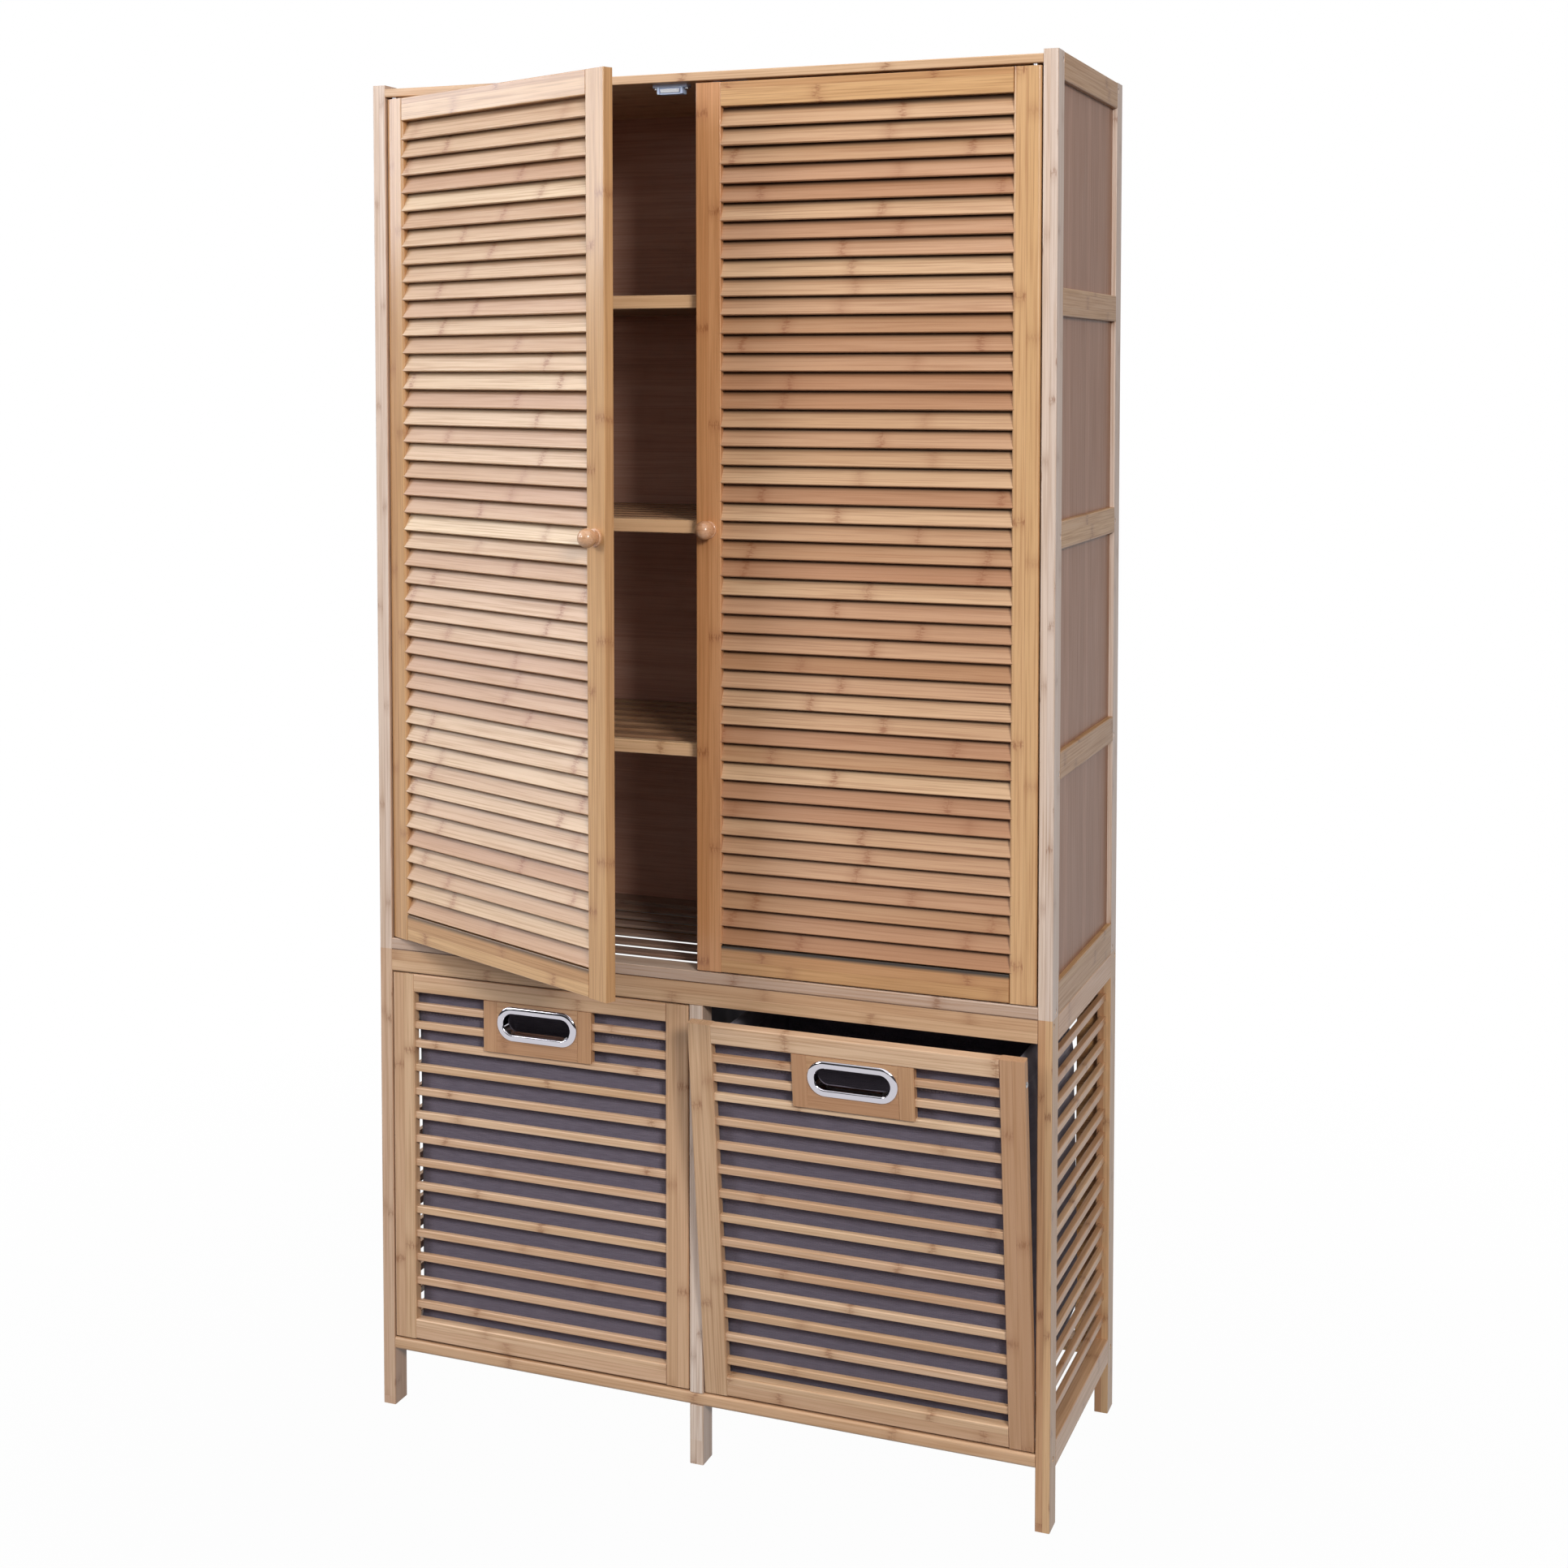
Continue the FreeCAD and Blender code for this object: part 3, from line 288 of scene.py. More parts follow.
mould = {
    "grain": 2400.0, "milk": 70.0, "relief": 0.0001, "bump": 0.3,
    "rough": {"From Min": 0.3, "From Max": 0.7, "To Min": 0.36, "To Max": 0.5},
}


# moulded polymer: pale and slightly milky, with the fine grain of the mould
def polymer(name, look):
    material, tree, shader = blank(name)
    where = add(tree, "TexCoord", out="Object")
    fine = add(tree, "TexNoise", {"Vector": where, "Scale": mould["grain"], "Detail": 2.0})
    milk = add(tree, "TexNoise", {"Vector": where, "Scale": mould["milk"], "Detail": 1.0})
    inputs = {0: milk, 6: linear(look["dark"]), 7: linear(look["light"])}
    colour = add(tree, "Mix", inputs, out=2, data_type="RGBA")
    rough = add(tree, "MapRange", {"Value": fine, **mould["rough"]})
    normal = add(tree, "Bump", {"Height": fine, "Distance": mould["relief"], "Strength": mould["bump"]})
    inputs = {"Base Color": colour, "Roughness": rough, "Normal": normal, "Subsurface Weight": 0.05}
    feed(tree, shader, inputs)
    return material


weaving = {
    "slub": (45.0, 700.0, 1.0), "fade": 11.0, "yarnHalf": 0.0007, "stitchShare": 0.7,
    "weaveTone": 0.5, "tone": {"From Min": 0.35, "From Max": 1.15},
    "worn": {"From Min": 0.35, "From Max": 0.8, "To Max": 0.4},
    "slubRise": 0.4, "stitchRise": 1.5, "relief": 0.0003, "bump": 0.5,
}


# woven polyester canvas: threads over and under, slubs, a dull sheen, and a stitched hem
def canvas(name, look):
    material, tree, shader = blank(name)
    flat = add(tree, "UVMap", uv_map="weave")
    threads = add(tree, "VectorMath", {0: flat, "Scale": 1 / look["thread"]}, operation="SCALE")
    over = add(tree, "TexChecker", {"Vector": threads, "Scale": 1.0}, out="Fac")
    swing = add(tree, "VectorMath", {0: threads, "Scale": math.pi}, operation="SCALE")
    swing = add(tree, "VectorMath", {0: swing}, operation="SINE")
    swing = add(tree, "VectorMath", {0: swing}, operation="ABSOLUTE")
    ridges = add(tree, "SeparateXYZ", {"Vector": swing}).node.outputs
    weave = add(tree, "Mix", {0: over, 2: ridges[0], 3: ridges[1]})
    slubAt = add(tree, "VectorMath", {0: flat, 1: weaving["slub"]}, operation="MULTIPLY")
    slub = add(tree, "TexNoise", {"Vector": slubAt, "Scale": 1.0, "Detail": 2.0})
    fade = add(tree, "TexNoise", {"Vector": flat, "Scale": weaving["fade"], "Detail": 3.0})
    runs = add(tree, "SeparateXYZ", {"Vector": flat}).node.outputs
    line = add(tree, "Math", {0: runs[1], 1: look["hem"], 2: weaving["yarnHalf"]}, operation="COMPARE")
    gap = add(tree, "Math", {0: runs[0], 1: 1 / look["stitch"]}, operation="MULTIPLY")
    gap = add(tree, "Math", {0: gap}, operation="FRACT")
    gap = add(tree, "Math", {0: gap, 1: weaving["stitchShare"]}, operation="LESS_THAN")
    stitch = add(tree, "Math", {0: line, 1: gap}, operation="MULTIPLY")
    tone = add(tree, "Math", {0: weave, 1: weaving["weaveTone"], 2: slub}, operation="MULTIPLY_ADD")
    tone = add(tree, "MapRange", {"Value": tone, **weaving["tone"]})
    worn = add(tree, "MapRange", {"Value": fade, **weaving["worn"]})
    colour = linear(look["dark"])
    for amount, code in ((tone, "light"), (worn, "worn"), (stitch, "yarn")):
        colour = add(tree, "Mix", {0: amount, 6: colour, 7: linear(look[code])}, out=2, data_type="RGBA")
    relief = add(tree, "Math", {0: slub, 1: weaving["slubRise"], 2: weave}, operation="MULTIPLY_ADD")
    relief = add(tree, "Math", {0: stitch, 1: weaving["stitchRise"], 2: relief}, operation="MULTIPLY_ADD")
    inputs = {"Height": relief, "Distance": weaving["relief"], "Strength": weaving["bump"]}
    feed(tree, shader, {
        "Base Color": colour, "Normal": add(tree, "Bump", inputs), "Roughness": 0.8,
        "Sheen Weight": 0.25, "Sheen Roughness": 0.5,
    })
    return material


# bamboo of the whole cabinet, with small shifts of tone from piece to piece
honey = {"light": "dcb07c", "dark": "ba8a57", "rosy": "b27a52", "fibre": "986836", "knot": "8a4e28"}
amber = {"light": "e0c39c", "dark": "c29a72", "rosy": "b58060", "fibre": "a2744b", "knot": "945833"}
copper = {"light": "d4b08a", "dark": "b38760", "rosy": "a86f52", "fibre": "966541", "knot": "8a502d"}
straw = {"light": "e3c39c", "dark": "c8a078", "rosy": "bf9070", "fibre": "a87c52", "knot": "85532f"}
ash = {"light": "ecdfd4", "dark": "ccae94", "rosy": "c49f83", "fibre": "a98463", "knot": "87593a"}
wheat = {"light": "dfbc98", "dark": "c39b75", "rosy": "b98a6b", "fibre": "a4784f", "knot": "86522e"}
cream = {"light": "e9c9a7", "dark": "cea781", "rosy": "c49578", "fibre": "ad8158", "knot": "8f5c38"}
butter = {"light": "f4d2a6", "dark": "dab084", "rosy": "d09d7a", "fibre": "b8895c", "knot": "98623b"}
umber = {"light": "c0976a", "dark": "a2774a", "rosy": "9b6946", "fibre": "84592d", "knot": "74431f"}
sand = {"light": "ddc0a4", "dark": "c49e7f", "rosy": "bb8e76", "fibre": "a57b57", "knot": "835433"}
rust = {"light": "e3ae79", "dark": "c08754", "rosy": "b87850", "fibre": "9c6534", "knot": "8a4e28"}
tan = {"light": "d2a981", "dark": "b88a63", "rosy": "ae7b5a", "fibre": "996a42", "knot": "7c4a2b"}
veneer = {"light": "cfa592", "dark": "bb8f7b", "rosy": "b38471", "fibre": "a37361", "knot": "8b5b49"}
plain = {
    "turn": upright, "seed": 0, "start": 0.0, "base": 0.0, "spread": 0.6, "step": 0.27, "knots": 1.0,
    "blush": 0.4, "gloss": 0.5, "coat": 0.12, "coatRough": 0.3, **honey,
}
boards = {}  # look and node names of each material

# posts and legs, glued from two strips
# the upper right post's second strip is drawn pale grey as a painted sheen off its rounded edge; the lower
# right leg's second strip is paler
mates = {("upper", "right"): "dacabf", ("lower", "right"): "ddb98c"}
tones = {("upper", "left"): ash, ("upper", "right"): ash, ("lower", "left"): sand, ("lower", "right"): tan}
for unit, kind in (("upper", "post"), ("lower", "leg")):
    for side, sign in (("left", -1), ("right", 1)):
        owners = [f"{unit}_{end}_{side}_{kind}" for end in ("front", "rear")]
        low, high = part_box(owners[0])
        look = {
            "lay": lays["z"], "strip": (high[0] - low[0]) / 2, "start": low[0],
            "layer": (high[1] - low[1]) / 2, "base": low[1],
            "spread": 0.9, "seed": 3 * sign + len(kind), **tones[unit, side],
        }
        if (unit, side) in mates:
            look["mate"] = ((low[0] + high[0]) / 2, mates[unit, side])
        boards[f"{unit}{side.title()}Post"] = ({**plain, **look}, owners)

# rails, boards and panels of the carcass
railLow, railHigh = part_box("front_top_rail")
sillLow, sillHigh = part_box("front_bottom_rail")
carcass = {
    # the front rail carries a painted shadow line just under its top, at the joint with the upper unit
    "frontRail": ({"lay": lays["x"], "strip": 0.015, "start": railLow[2], "layer": 0.009,
                   "joint": railHigh[2], **wheat}, ["front_top_rail"]),
    "frontSill": ({"lay": lays["x"], "strip": sillHigh[2] - sillLow[2], "start": sillLow[2], "layer": 0.0155,
                   "seed": 5, **straw}, ["front_bottom_rail"]),
    "middlePost": ({"lay": lays["z"], "strip": 0.0095, "layer": 0.0155, "seed": 9, **ash},
                   ["middle_posts", "middle_legs"]),
    "backRail": ({"lay": lays["x"], "strip": 0.0165, "layer": 0.009, "seed": 4}, ["lower_back_frame"]),
    "topBoard": ({"lay": lays["xFlat"], "strip": 0.019, "layer": 0.02, "seed": 2, **straw}, ["top_board"]),
    "sideRail": ({"lay": lays["y"], "strip": 0.017, "layer": 0.5, "seed": 7, "gloss": 0.3, "coat": 0.03,
                  **umber}, [f"upper_{side}_side_rails" for side in bothSides]),
    "sideLadder": ({"lay": lays["y"], "strip": 0.03175, "start": 0.113875, "layer": 0.5, "seed": 8,
                    "spread": 0.8, **tan}, [f"lower_{side}_side" for side in bothSides]),
    "sidePanel": ({"lay": lays["zSide"], "strip": 0.021, "layer": 0.5, "spread": 0.9, "knots": 0.15,
                   "blush": 0.25, "seed": 1, "gloss": 0.2, "coat": 0.0,
                   "light": "a2775f", "dark": "91674e", "rosy": "8b6048", "fibre": "754c34"},
                  [f"upper_{side}_side_panels" for side in bothSides]),
    "backVeneer": ({"lay": lays["x"], "strip": 0.021, "layer": 0.5, "spread": 0.25, "knots": 0.15,
                    "seed": 11, **veneer}, ["upper_back_panel"]),
    "dowelPin": ({"lay": lays["z"], "strip": 0.05, "layer": 0.5}, ["dowels"]),
}
for name, (look, owners) in carcass.items():
    boards[name] = ({**plain, **look}, owners)

# shelves and base: slats behind a front rail of the given depth, with painted shade on the slats
shelfLook = {"lay": lays["xFlat"], "strip": 0.0155, "layer": 0.4, "seed": 6}
for name, owners, depth, stock in (
        ("shelfSlat", ["top_shelf", "middle_shelf", "low_shelf"], 0.018, butter),
        ("baseSlat", ["upper_base"], 0.036, ash)):
    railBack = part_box(owners[0])[0][1] + depth
    boards[name] = ({**plain, **shelfLook, "deep": railBack, **stock}, owners)

# louvres all lie at one tilt, so the way through their layers tells them apart
louvre = {
    "count": 45, "tilt": math.radians(25), "width": 0.0266, "thick": 0.004,
    "fade": 0.0105, "full": 0.0025,  # the painted shade on the tucked edge, measured from the tucked side
}
louvreLow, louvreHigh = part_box("right_door_louvres")
louvreRise = louvre["width"] * math.cos(louvre["tilt"]) + louvre["thick"] * math.sin(louvre["tilt"])
louvrePitch = (louvreHigh[2] - louvreLow[2] - louvreRise) / (louvre["count"] - 1)
louvreStep = louvrePitch * math.sin(louvre["tilt"])
louvreLay = Matrix(lays["x"]) @ Matrix.Rotation(louvre["tilt"], 3, "X")
firstMiddle = Vector((0.0, (louvreLow[1] + louvreHigh[1]) / 2, louvreLow[2] + louvreRise / 2))
firstMiddle = louvreLay @ firstMiddle  # of the lowest louvre, in grain space
tuckedSide = firstMiddle.y + louvre["width"] / 2
louvreTuck = {
    "pitch": louvrePitch * math.cos(louvre["tilt"]),
    "from": tuckedSide - louvre["fade"], "to": tuckedSide - louvre["full"],
}
louvreLook = {
    "lay": louvreLay, "strip": 4.0, "start": -1.0,  # one strip, wider than a louvre
    "layer": louvreStep, "base": firstMiddle.z - louvreStep / 2, "spread": 1.15, "step": 0.31, "blush": 0.5,
    "coat": 0.12, "coatRough": 0.3,
}
louvreStock = {"left": (amber, 0.5), "right": (copper, 0.92)}  # tone, and weight of the painted shade on the tucked edge

# the leaves: the doors have the thicker lacquer
stileWidth = {"door": 0.034, "hamper": 0.032}
coats = {"door": {"coat": 0.5, "coatRough": 0.18}, "hamper": {}}
leafMiddle = 0.2295  # between the stiles of a right leaf
stocks = {"left_door": honey, "right_door": rust, "left_hamper": wheat, "right_hamper": wheat}
# the right door's right stile is drawn paler than its redder left stile, partly its own tone and partly
# painted light, where the open left door shades the left stile; the right hamper's right stile has its own
# darker tone
stileMates = {"right_door": "d6b282", "right_hamper": "b48562"}
foot = {"height": 0.035, "left": 0.72, "right": 0.97}  # bottom rail of a door, and weight of the shade on it
thick = {"layer": 0.5, "base": -0.25}  # one layer through the whole piece
knobLook = {  # turned and polished
    "lay": lays["x"], "strip": 0.05, "layer": 0.5, "knots": 0.2,
    "light": "d9ac85", "dark": "bf8c65", "coat": 0.7, "coatRough": 0.12,
}
slat = {"pitch": 0.03277, "height": 0.010}
endBoard = 0.02
for kind, joint in (("door", "hinge"), ("hamper", "tilt")):
    for side, sign in (("left", -1), ("right", 1)):
        body = f"{side}_{kind}"
        low, high = shutBox(side, kind, "stiles")
        seed = 20 + 3 * sign + len(kind)  # its own for each leaf
        own = {**plain, **stocks[body], "turn": openTurn(f"{body}_{joint}"), "seed": seed, **coats[kind]}
        run = high.x - stileWidth[kind] - low.x
        strip = run / round(run / (stileWidth[kind] / 2))  # about half a stile, and meets both stiles
        stileLook = {"lay": lays["z"], "strip": strip, "start": low.x, **thick}
        if body in stileMates:
            stileLook["mate"] = (leafMiddle, stileMates[body])
        boards[body + "Stile"] = ({**own, **stileLook}, [body + "_stiles"])
        railLook = {"lay": lays["x"], "strip": 0.0165, "start": low.z, **thick, "seed": seed + 1}
        if kind == "door":
            railLook.update({**honey, "gap": {"top": low.z + foot["height"], "weight": foot[side]}})
            stock, weight = louvreStock[side]
            tucked = {**stock, **louvreLook, "tuck": {**louvreTuck, "weight": weight}}
            boards[body + "Louvre"] = ({**own, **tucked}, [body + "_louvres"])
            boards[body + "Knob"] = ({**own, **knobLook}, [body + "_knob"])
        else:
            railLook.update(cream)
            start = shutBox(side, kind, "slats")[0].z - (slat["pitch"] - slat["height"]) / 2
            slatLook = {
                "lay": lays["x"], "strip": slat["pitch"], "start": start, **thick,
                "spread": 0.8, "step": 0.3, "seed": seed + 2,
            }
            boards[body + "Slat"] = ({**own, **cream, **slatLook}, [body + "_slats"])
            plateLow, plateHigh = shutBox(side, kind, "handle_plate")
            halfBoard = (plateHigh.x - plateLow.x) / 2 - endBoard
            plateLook = {
                "lay": lays["x"], "strip": 0.036, "start": plateLow.z, **thick, "seed": seed + 1,
                "plate": ((plateLow.x + plateHigh.x) / 2, halfBoard),
            }
            boards[body + "Plate"] = ({**own, **tan, **plateLook}, [body + "_handle_plate"])
        boards[body + "Rail"] = ({**own, **railLook}, [body + "_rails"])

finishes = {}
for name, (look, owners) in boards.items():
    material = bamboo(name + "Bamboo", look)
    finishes.update({owner: material for owner in owners})
chrome = plate("polishedChrome", {"colour": "c9c6ce", "rough": 0.05, "brush": 0.01, "film": 0.03})
steel = plate("zincSteel", {"colour": "b4b5b8", "rough": 0.28, "brush": 0.12, "film": 0.08})
catchPolymer = polymer("catchPolymer", {"light": "c6d2ea", "dark": "b0bfde"})
for name in nodes:
    if name.endswith("_grommet"):
        finishes[name] = chrome
    elif name == "door_catches":
        finishes[name] = catchPolymer
    elif name not in finishes:
        finishes[name] = steel
for name, material in finishes.items():
    nodes[name].data.materials.clear()
    nodes[name].data.materials.append(material)
print("finishes on", len(finishes), "nodes from", len(boards), "bamboo looks")

# cloth bags: a blank sewn into an open bag, hung by a hem on its wire
bagCloth = canvas("wovenCanvas", {
    "light": "756d7c", "dark": "4d4655", "worn": "645d6d", "yarn": "7d7683",
    "thread": 0.0016, "hem": 0.02, "stitch": 0.005,  # threads drawn twice as coarse as real ones to show
})
bagCut = {
    "across": 44, "deep": 34, "rows": 28, "lowRows": 1.3,  # faces of the mesh, closer together low down
    "slope": math.radians(7), "wireIn": 0.0015, "wireUp": 0.0028,  # the wire over the bag's rim
    "hemTurn": 0.0036, "hemSteps": 6, "hemDrop": 0.022, "hemRows": 4, "hemLap": 0.6,
    "frontRound": 0.004, "backRound": 0.010, "footRound": 0.005, "footBand": 0.02,
    "drawDepth": 0.05, "pinch": 0.0048, "pinchReach": 0.3,
    "sag": 0.004, "ripple": 0.0012, "rippleWaves": (6, 5), "lift": 0.001,  # the floor panel
    "frontSag": 0.004, "frontBand": 0.12, "frontCalm": 0.4,
    "bulge": 0.0095, "backBulge": 0.003, "cornerFrom": 0.3, "cornerBand": 0.2, "lowBand": 0.06,
    "gather": 0.0016, "gathers": 27, "gatherFrom": 0.03, "gatherFall": 0.11,
    "crease": 0.0028, "softWaves": (11, 4), "fineWaves": (27, 13), "fineShift": 5, "fineShare": 0.35,
    "wallFall": 0.45, "floorFall": 1.0,  # places on the flat cloth
    "cloth": 0.001, "slot": (0.098, 0.027), "handClear": 0.003,
    "punchFrom": 0.012, "punchDepth": 0.04, "punchSides": 48,
}
bagSides = {"left": {"outer": -1, "seed": 3.0}, "right": {"outer": 1, "seed": 8.0}}
nearRim = 0.499  # of the unit square that the bag's floor is drawn in


def ringPoint(px, py, size, radius):  # from the rim of a unit square to a rectangle with round corners
    point = Vector((px * size[0], py * size[1]))
    core = Vector([max(radius - s / 2, min(s / 2 - radius, c)) for c, s in zip(point, size)])
    out = (point - core).normalized()
    return core + out * radius, out


def ease(value):
    value = max(0.0, min(1.0, value))
    return value * value * (3 - 2 * value)


def hemPoint(step, spot, out, rimAt):  # over the wire and down inside
    cut = bagCut
    centreLine = spot - out * cut["hemTurn"]
    wireZ = rimAt + cut["wireUp"]
    if step <= cut["hemSteps"]:
        angle = math.pi * step / cut["hemSteps"]
        spot = centreLine + out * cut["hemTurn"] * math.cos(angle)
        return Vector((spot.x, spot.y, wireZ + cut["hemTurn"] * math.sin(angle)))
    drop = cut["hemDrop"] * (step - cut["hemSteps"]) / cut["hemRows"]
    spot = centreLine - out * (cut["hemTurn"] - cut["hemLap"] * cut["cloth"])
    return Vector((spot.x, spot.y, wireZ - drop))


def shapeBag(px, py, row, low, high, outer, seed):
    cut = bagCut
    size = high - low
    middle = ((low + high) / 2).xy
    back = py + 0.5
    up = min(row / cut["rows"], 1.0) ** cut["lowRows"]  # share of the wall's height
    front = 1 - ease(back / cut["frontBand"])
    rimAt = high.z - math.tan(cut["slope"]) * back * size.y - front * cut["frontSag"] * (1 - 4 * px * px)
    height = rimAt - low.z
    below = (1 - up) * height
    hung = ease(below / cut["drawDepth"])
    inset = (cut["wireIn"] - cut["hemTurn"]) * (1 - hung)
    inset += cut["footRound"] * max(0.0, 1 - up / cut["footBand"]) ** 2
    span = Vector((size.x - 2 * inset, size.y - 2 * inset))
    if max(abs(px), abs(py)) < nearRim:  # the floor panel sags between its seams
        dip = cut["sag"] * (1 - 4 * px * px) * (1 - 4 * py * py)
        waves = Vector((px * cut["rippleWaves"][0], py * cut["rippleWaves"][1], seed))
        z = low.z - dip + cut["ripple"] * noise.noise(waves) + cut["lift"]
        return Vector((middle.x + px * span.x, middle.y + py * span.y, z))
    spot, out = ringPoint(px, py, span, cut["frontRound"] if py < 0 else cut["backRound"])
    spot += middle
    if row > cut["rows"]:
        return hemPoint(row - cut["rows"], spot, out, rimAt)
    z = low.z + height * up
    around = math.atan2(py, px)
    gather = math.sin(cut["gathers"] * around + 2 * math.sin(3 * around + seed))
    gather *= cut["gather"] * ease(below / cut["gatherFrom"]) * math.exp(-(below / cut["gatherFall"]) ** 2)
    flat, tall = cut["softWaves"]
    soft = noise.noise(Vector((spot.x * flat, spot.y * flat, z * tall + seed)))
    flat, tall = cut["fineWaves"]
    fine = noise.noise(Vector((spot.x * flat + cut["fineShift"], spot.y * flat, z * tall + seed)))
    free = hung * ease(up / cut["lowBand"])
    crease = cut["crease"] * (soft + cut["fineShare"] * fine) * free
    spot += out * (gather + crease * (cut["frontCalm"] if py < -nearRim else 1.0))
    behind = ease(back / cut["pinchReach"])
    sideways = math.copysign(ease((abs(px) - cut["cornerFrom"]) / cut["cornerBand"]), px) * behind
    backward = ease((py - cut["cornerFrom"]) / cut["cornerBand"])
    spot += Vector((cut["bulge"] * sideways, cut["backBulge"] * backward)) * free
    pinched = ease((outer * px - cut["cornerFrom"]) / cut["cornerBand"]) * (1 - behind)
    return Vector((spot.x - outer * cut["pinch"] * pinched * free, spot.y, z))


def flatRuns(face, size):  # where a face's corners lie on the flat cloth: walls in one run, floor apart
    corners = [loop.vert.co for loop in face.loops]
    if all(row <= 0.5 for px, py, row in corners):
        return [(px * size.x, bagCut["floorFall"] + py * size.y) for px, py, row in corners]
    girth = 2 * (size.x + size.y)
    runs = []
    for px, py, row in corners:
        if py <= -nearRim:
            run = (px + 0.5) * size.x
        elif px >= nearRim:
            run = size.x + (py + 0.5) * size.y
        elif py >= nearRim:
            run = size.x + size.y + (0.5 - px) * size.x
        else:
            run = 2 * size.x + size.y + (0.5 - py) * size.y
        runs.append((run, (1 - row / bagCut["rows"]) * bagCut["wallFall"]))
    wraps = max(run for run, fall in runs) - min(run for run, fall in runs) > girth / 2
    return [(run + girth if wraps and run < girth / 2 else run, fall) for run, fall in runs]


def link(form, name):
    thing = bpy.data.objects.new(name, bpy.data.meshes.new(name))
    form.to_mesh(thing.data)
    form.free()
    scene.collection.objects.link(thing)
    return thing


def handPunch(side, front):  # for a hand hole behind the handle's slot
    cut = bagCut
    low, high = shutBox(side, "hamper", "grommet")
    length, tall = [edge + 2 * cut["handClear"] for edge in cut["slot"]]
    form = bmesh.new()
    bmesh.ops.create_circle(form, cap_ends=True, segments=cut["punchSides"], radius=tall / 2)
    for vert in form.verts:
        vert.co.x += math.copysign((length - tall) / 2, vert.co.x)
    bmesh.ops.rotate(form, verts=form.verts, matrix=Matrix.Rotation(math.radians(90), 3, "X"))
    start = ((low.x + high.x) / 2, front - cut["punchFrom"], (low.z + high.z) / 2)
    bmesh.ops.translate(form, verts=form.verts, vec=start)
    made = bmesh.ops.extrude_face_region(form, geom=form.faces[:])["geom"]
    fresh = [part for part in made if isinstance(part, bmesh.types.BMVert)]
    bmesh.ops.translate(form, verts=fresh, vec=(0.0, cut["punchDepth"], 0.0))
    bmesh.ops.recalc_face_normals(form, faces=form.faces)
    return link(form, "punch")


def sewBag(side, turn):
    cut = bagCut
    low, high = shutBox(side, "hamper", "bag")
    form = bmesh.new()
    bmesh.ops.create_grid(form, x_segments=cut["across"], y_segments=cut["deep"], size=0.5)
    rim = [edge for edge in form.edges if edge.is_boundary]
    for row in range(cut["rows"] + cut["hemSteps"] + cut["hemRows"]):
        made = bmesh.ops.extrude_edge_only(form, edges=rim)["geom"]
        fresh = [part for part in made if isinstance(part, bmesh.types.BMVert)]
        bmesh.ops.translate(form, verts=fresh, vec=(0.0, 0.0, 1.0))
        rim = [part for part in made if isinstance(part, bmesh.types.BMEdge) and part.is_boundary]
    weave = form.loops.layers.uv.new("weave")
    for face in form.faces:
        face.smooth = True
        for loop, spot in zip(face.loops, flatRuns(face, high - low)):
            loop[weave].uv = spot
    for vert in form.verts:
        vert.co = shapeBag(*vert.co, low, high, **bagSides[side])
    bmesh.ops.recalc_face_normals(form, faces=form.faces)
    bag = link(form, f"{side}_bag_cloth")
    punch = handPunch(side, low.y)
    bag.modifiers.new("smooth", "SUBSURF").levels = 1
    thickness = bag.modifiers.new("cloth", "SOLIDIFY")
    thickness.thickness = cut["cloth"]
    thickness.offset = 0.0
    hole = bag.modifiers.new("hole", "BOOLEAN")
    hole.object = punch
    hole.solver = "EXACT"
    ready = bag.evaluated_get(bpy.context.evaluated_depsgraph_get())
    mesh = bpy.data.meshes.new_from_object(ready)
    bag.modifiers.clear()
    bag.data = mesh
    bpy.data.objects.remove(punch)
    mesh.transform(turn)
    mesh.materials.clear()
    mesh.materials.append(bagCloth)
    return bag


for side in bothSides:
    bag = sewBag(side, openTurn(f"{side}_hamper_tilt"))
    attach(bag, f"{side}_hamper")
    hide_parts(f"{side}_hamper_bag")
    print(side, "bag sewn with", len(bag.data.polygons), "faces")


# turned pieces: a profile of radius and rise, spun about an axis that points to the front
def arc(centre, size, first, last, steps=10):
    angles = [math.radians(first + (last - first) * i / steps) for i in range(steps + 1)]
    ends = [(math.cos(angle), math.sin(angle)) for angle in angles]
    return [(centre[0] + size[0] * cosine, centre[1] + size[1] * sine) for cosine, sine in ends]


def spun(profile, steps=64):
    form = bmesh.new()
    start = math.pi / steps  # so no point lies on the middle line, where a ring is stretched
    cosine, sine = math.cos(start), math.sin(start)
    points = [form.verts.new((radius * cosine, -rise, radius * sine)) for radius, rise in profile]
    edges = [form.edges.new(pair) for pair in zip(points, points[1:])]
    around = {"axis": (0.0, 1.0, 0.0), "angle": 2 * math.pi, "steps": steps, "use_merge": True}
    bmesh.ops.spin(form, geom=points + edges, **around)
    bmesh.ops.remove_doubles(form, verts=form.verts, dist=1e-6)
    return form


sharpEdge = math.radians(40)


def settle(form, name, node, body, turn):  # from the shut leaf to its place at rest
    bmesh.ops.recalc_face_normals(form, faces=form.faces)
    for face in form.faces:
        face.smooth = True
    piece = link(form, name)
    piece.data.transform(turn)
    piece.data.set_sharp_from_angle(angle=sharpEdge)
    piece.data.materials.append(finishes[node])
    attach(piece, body)
    return piece


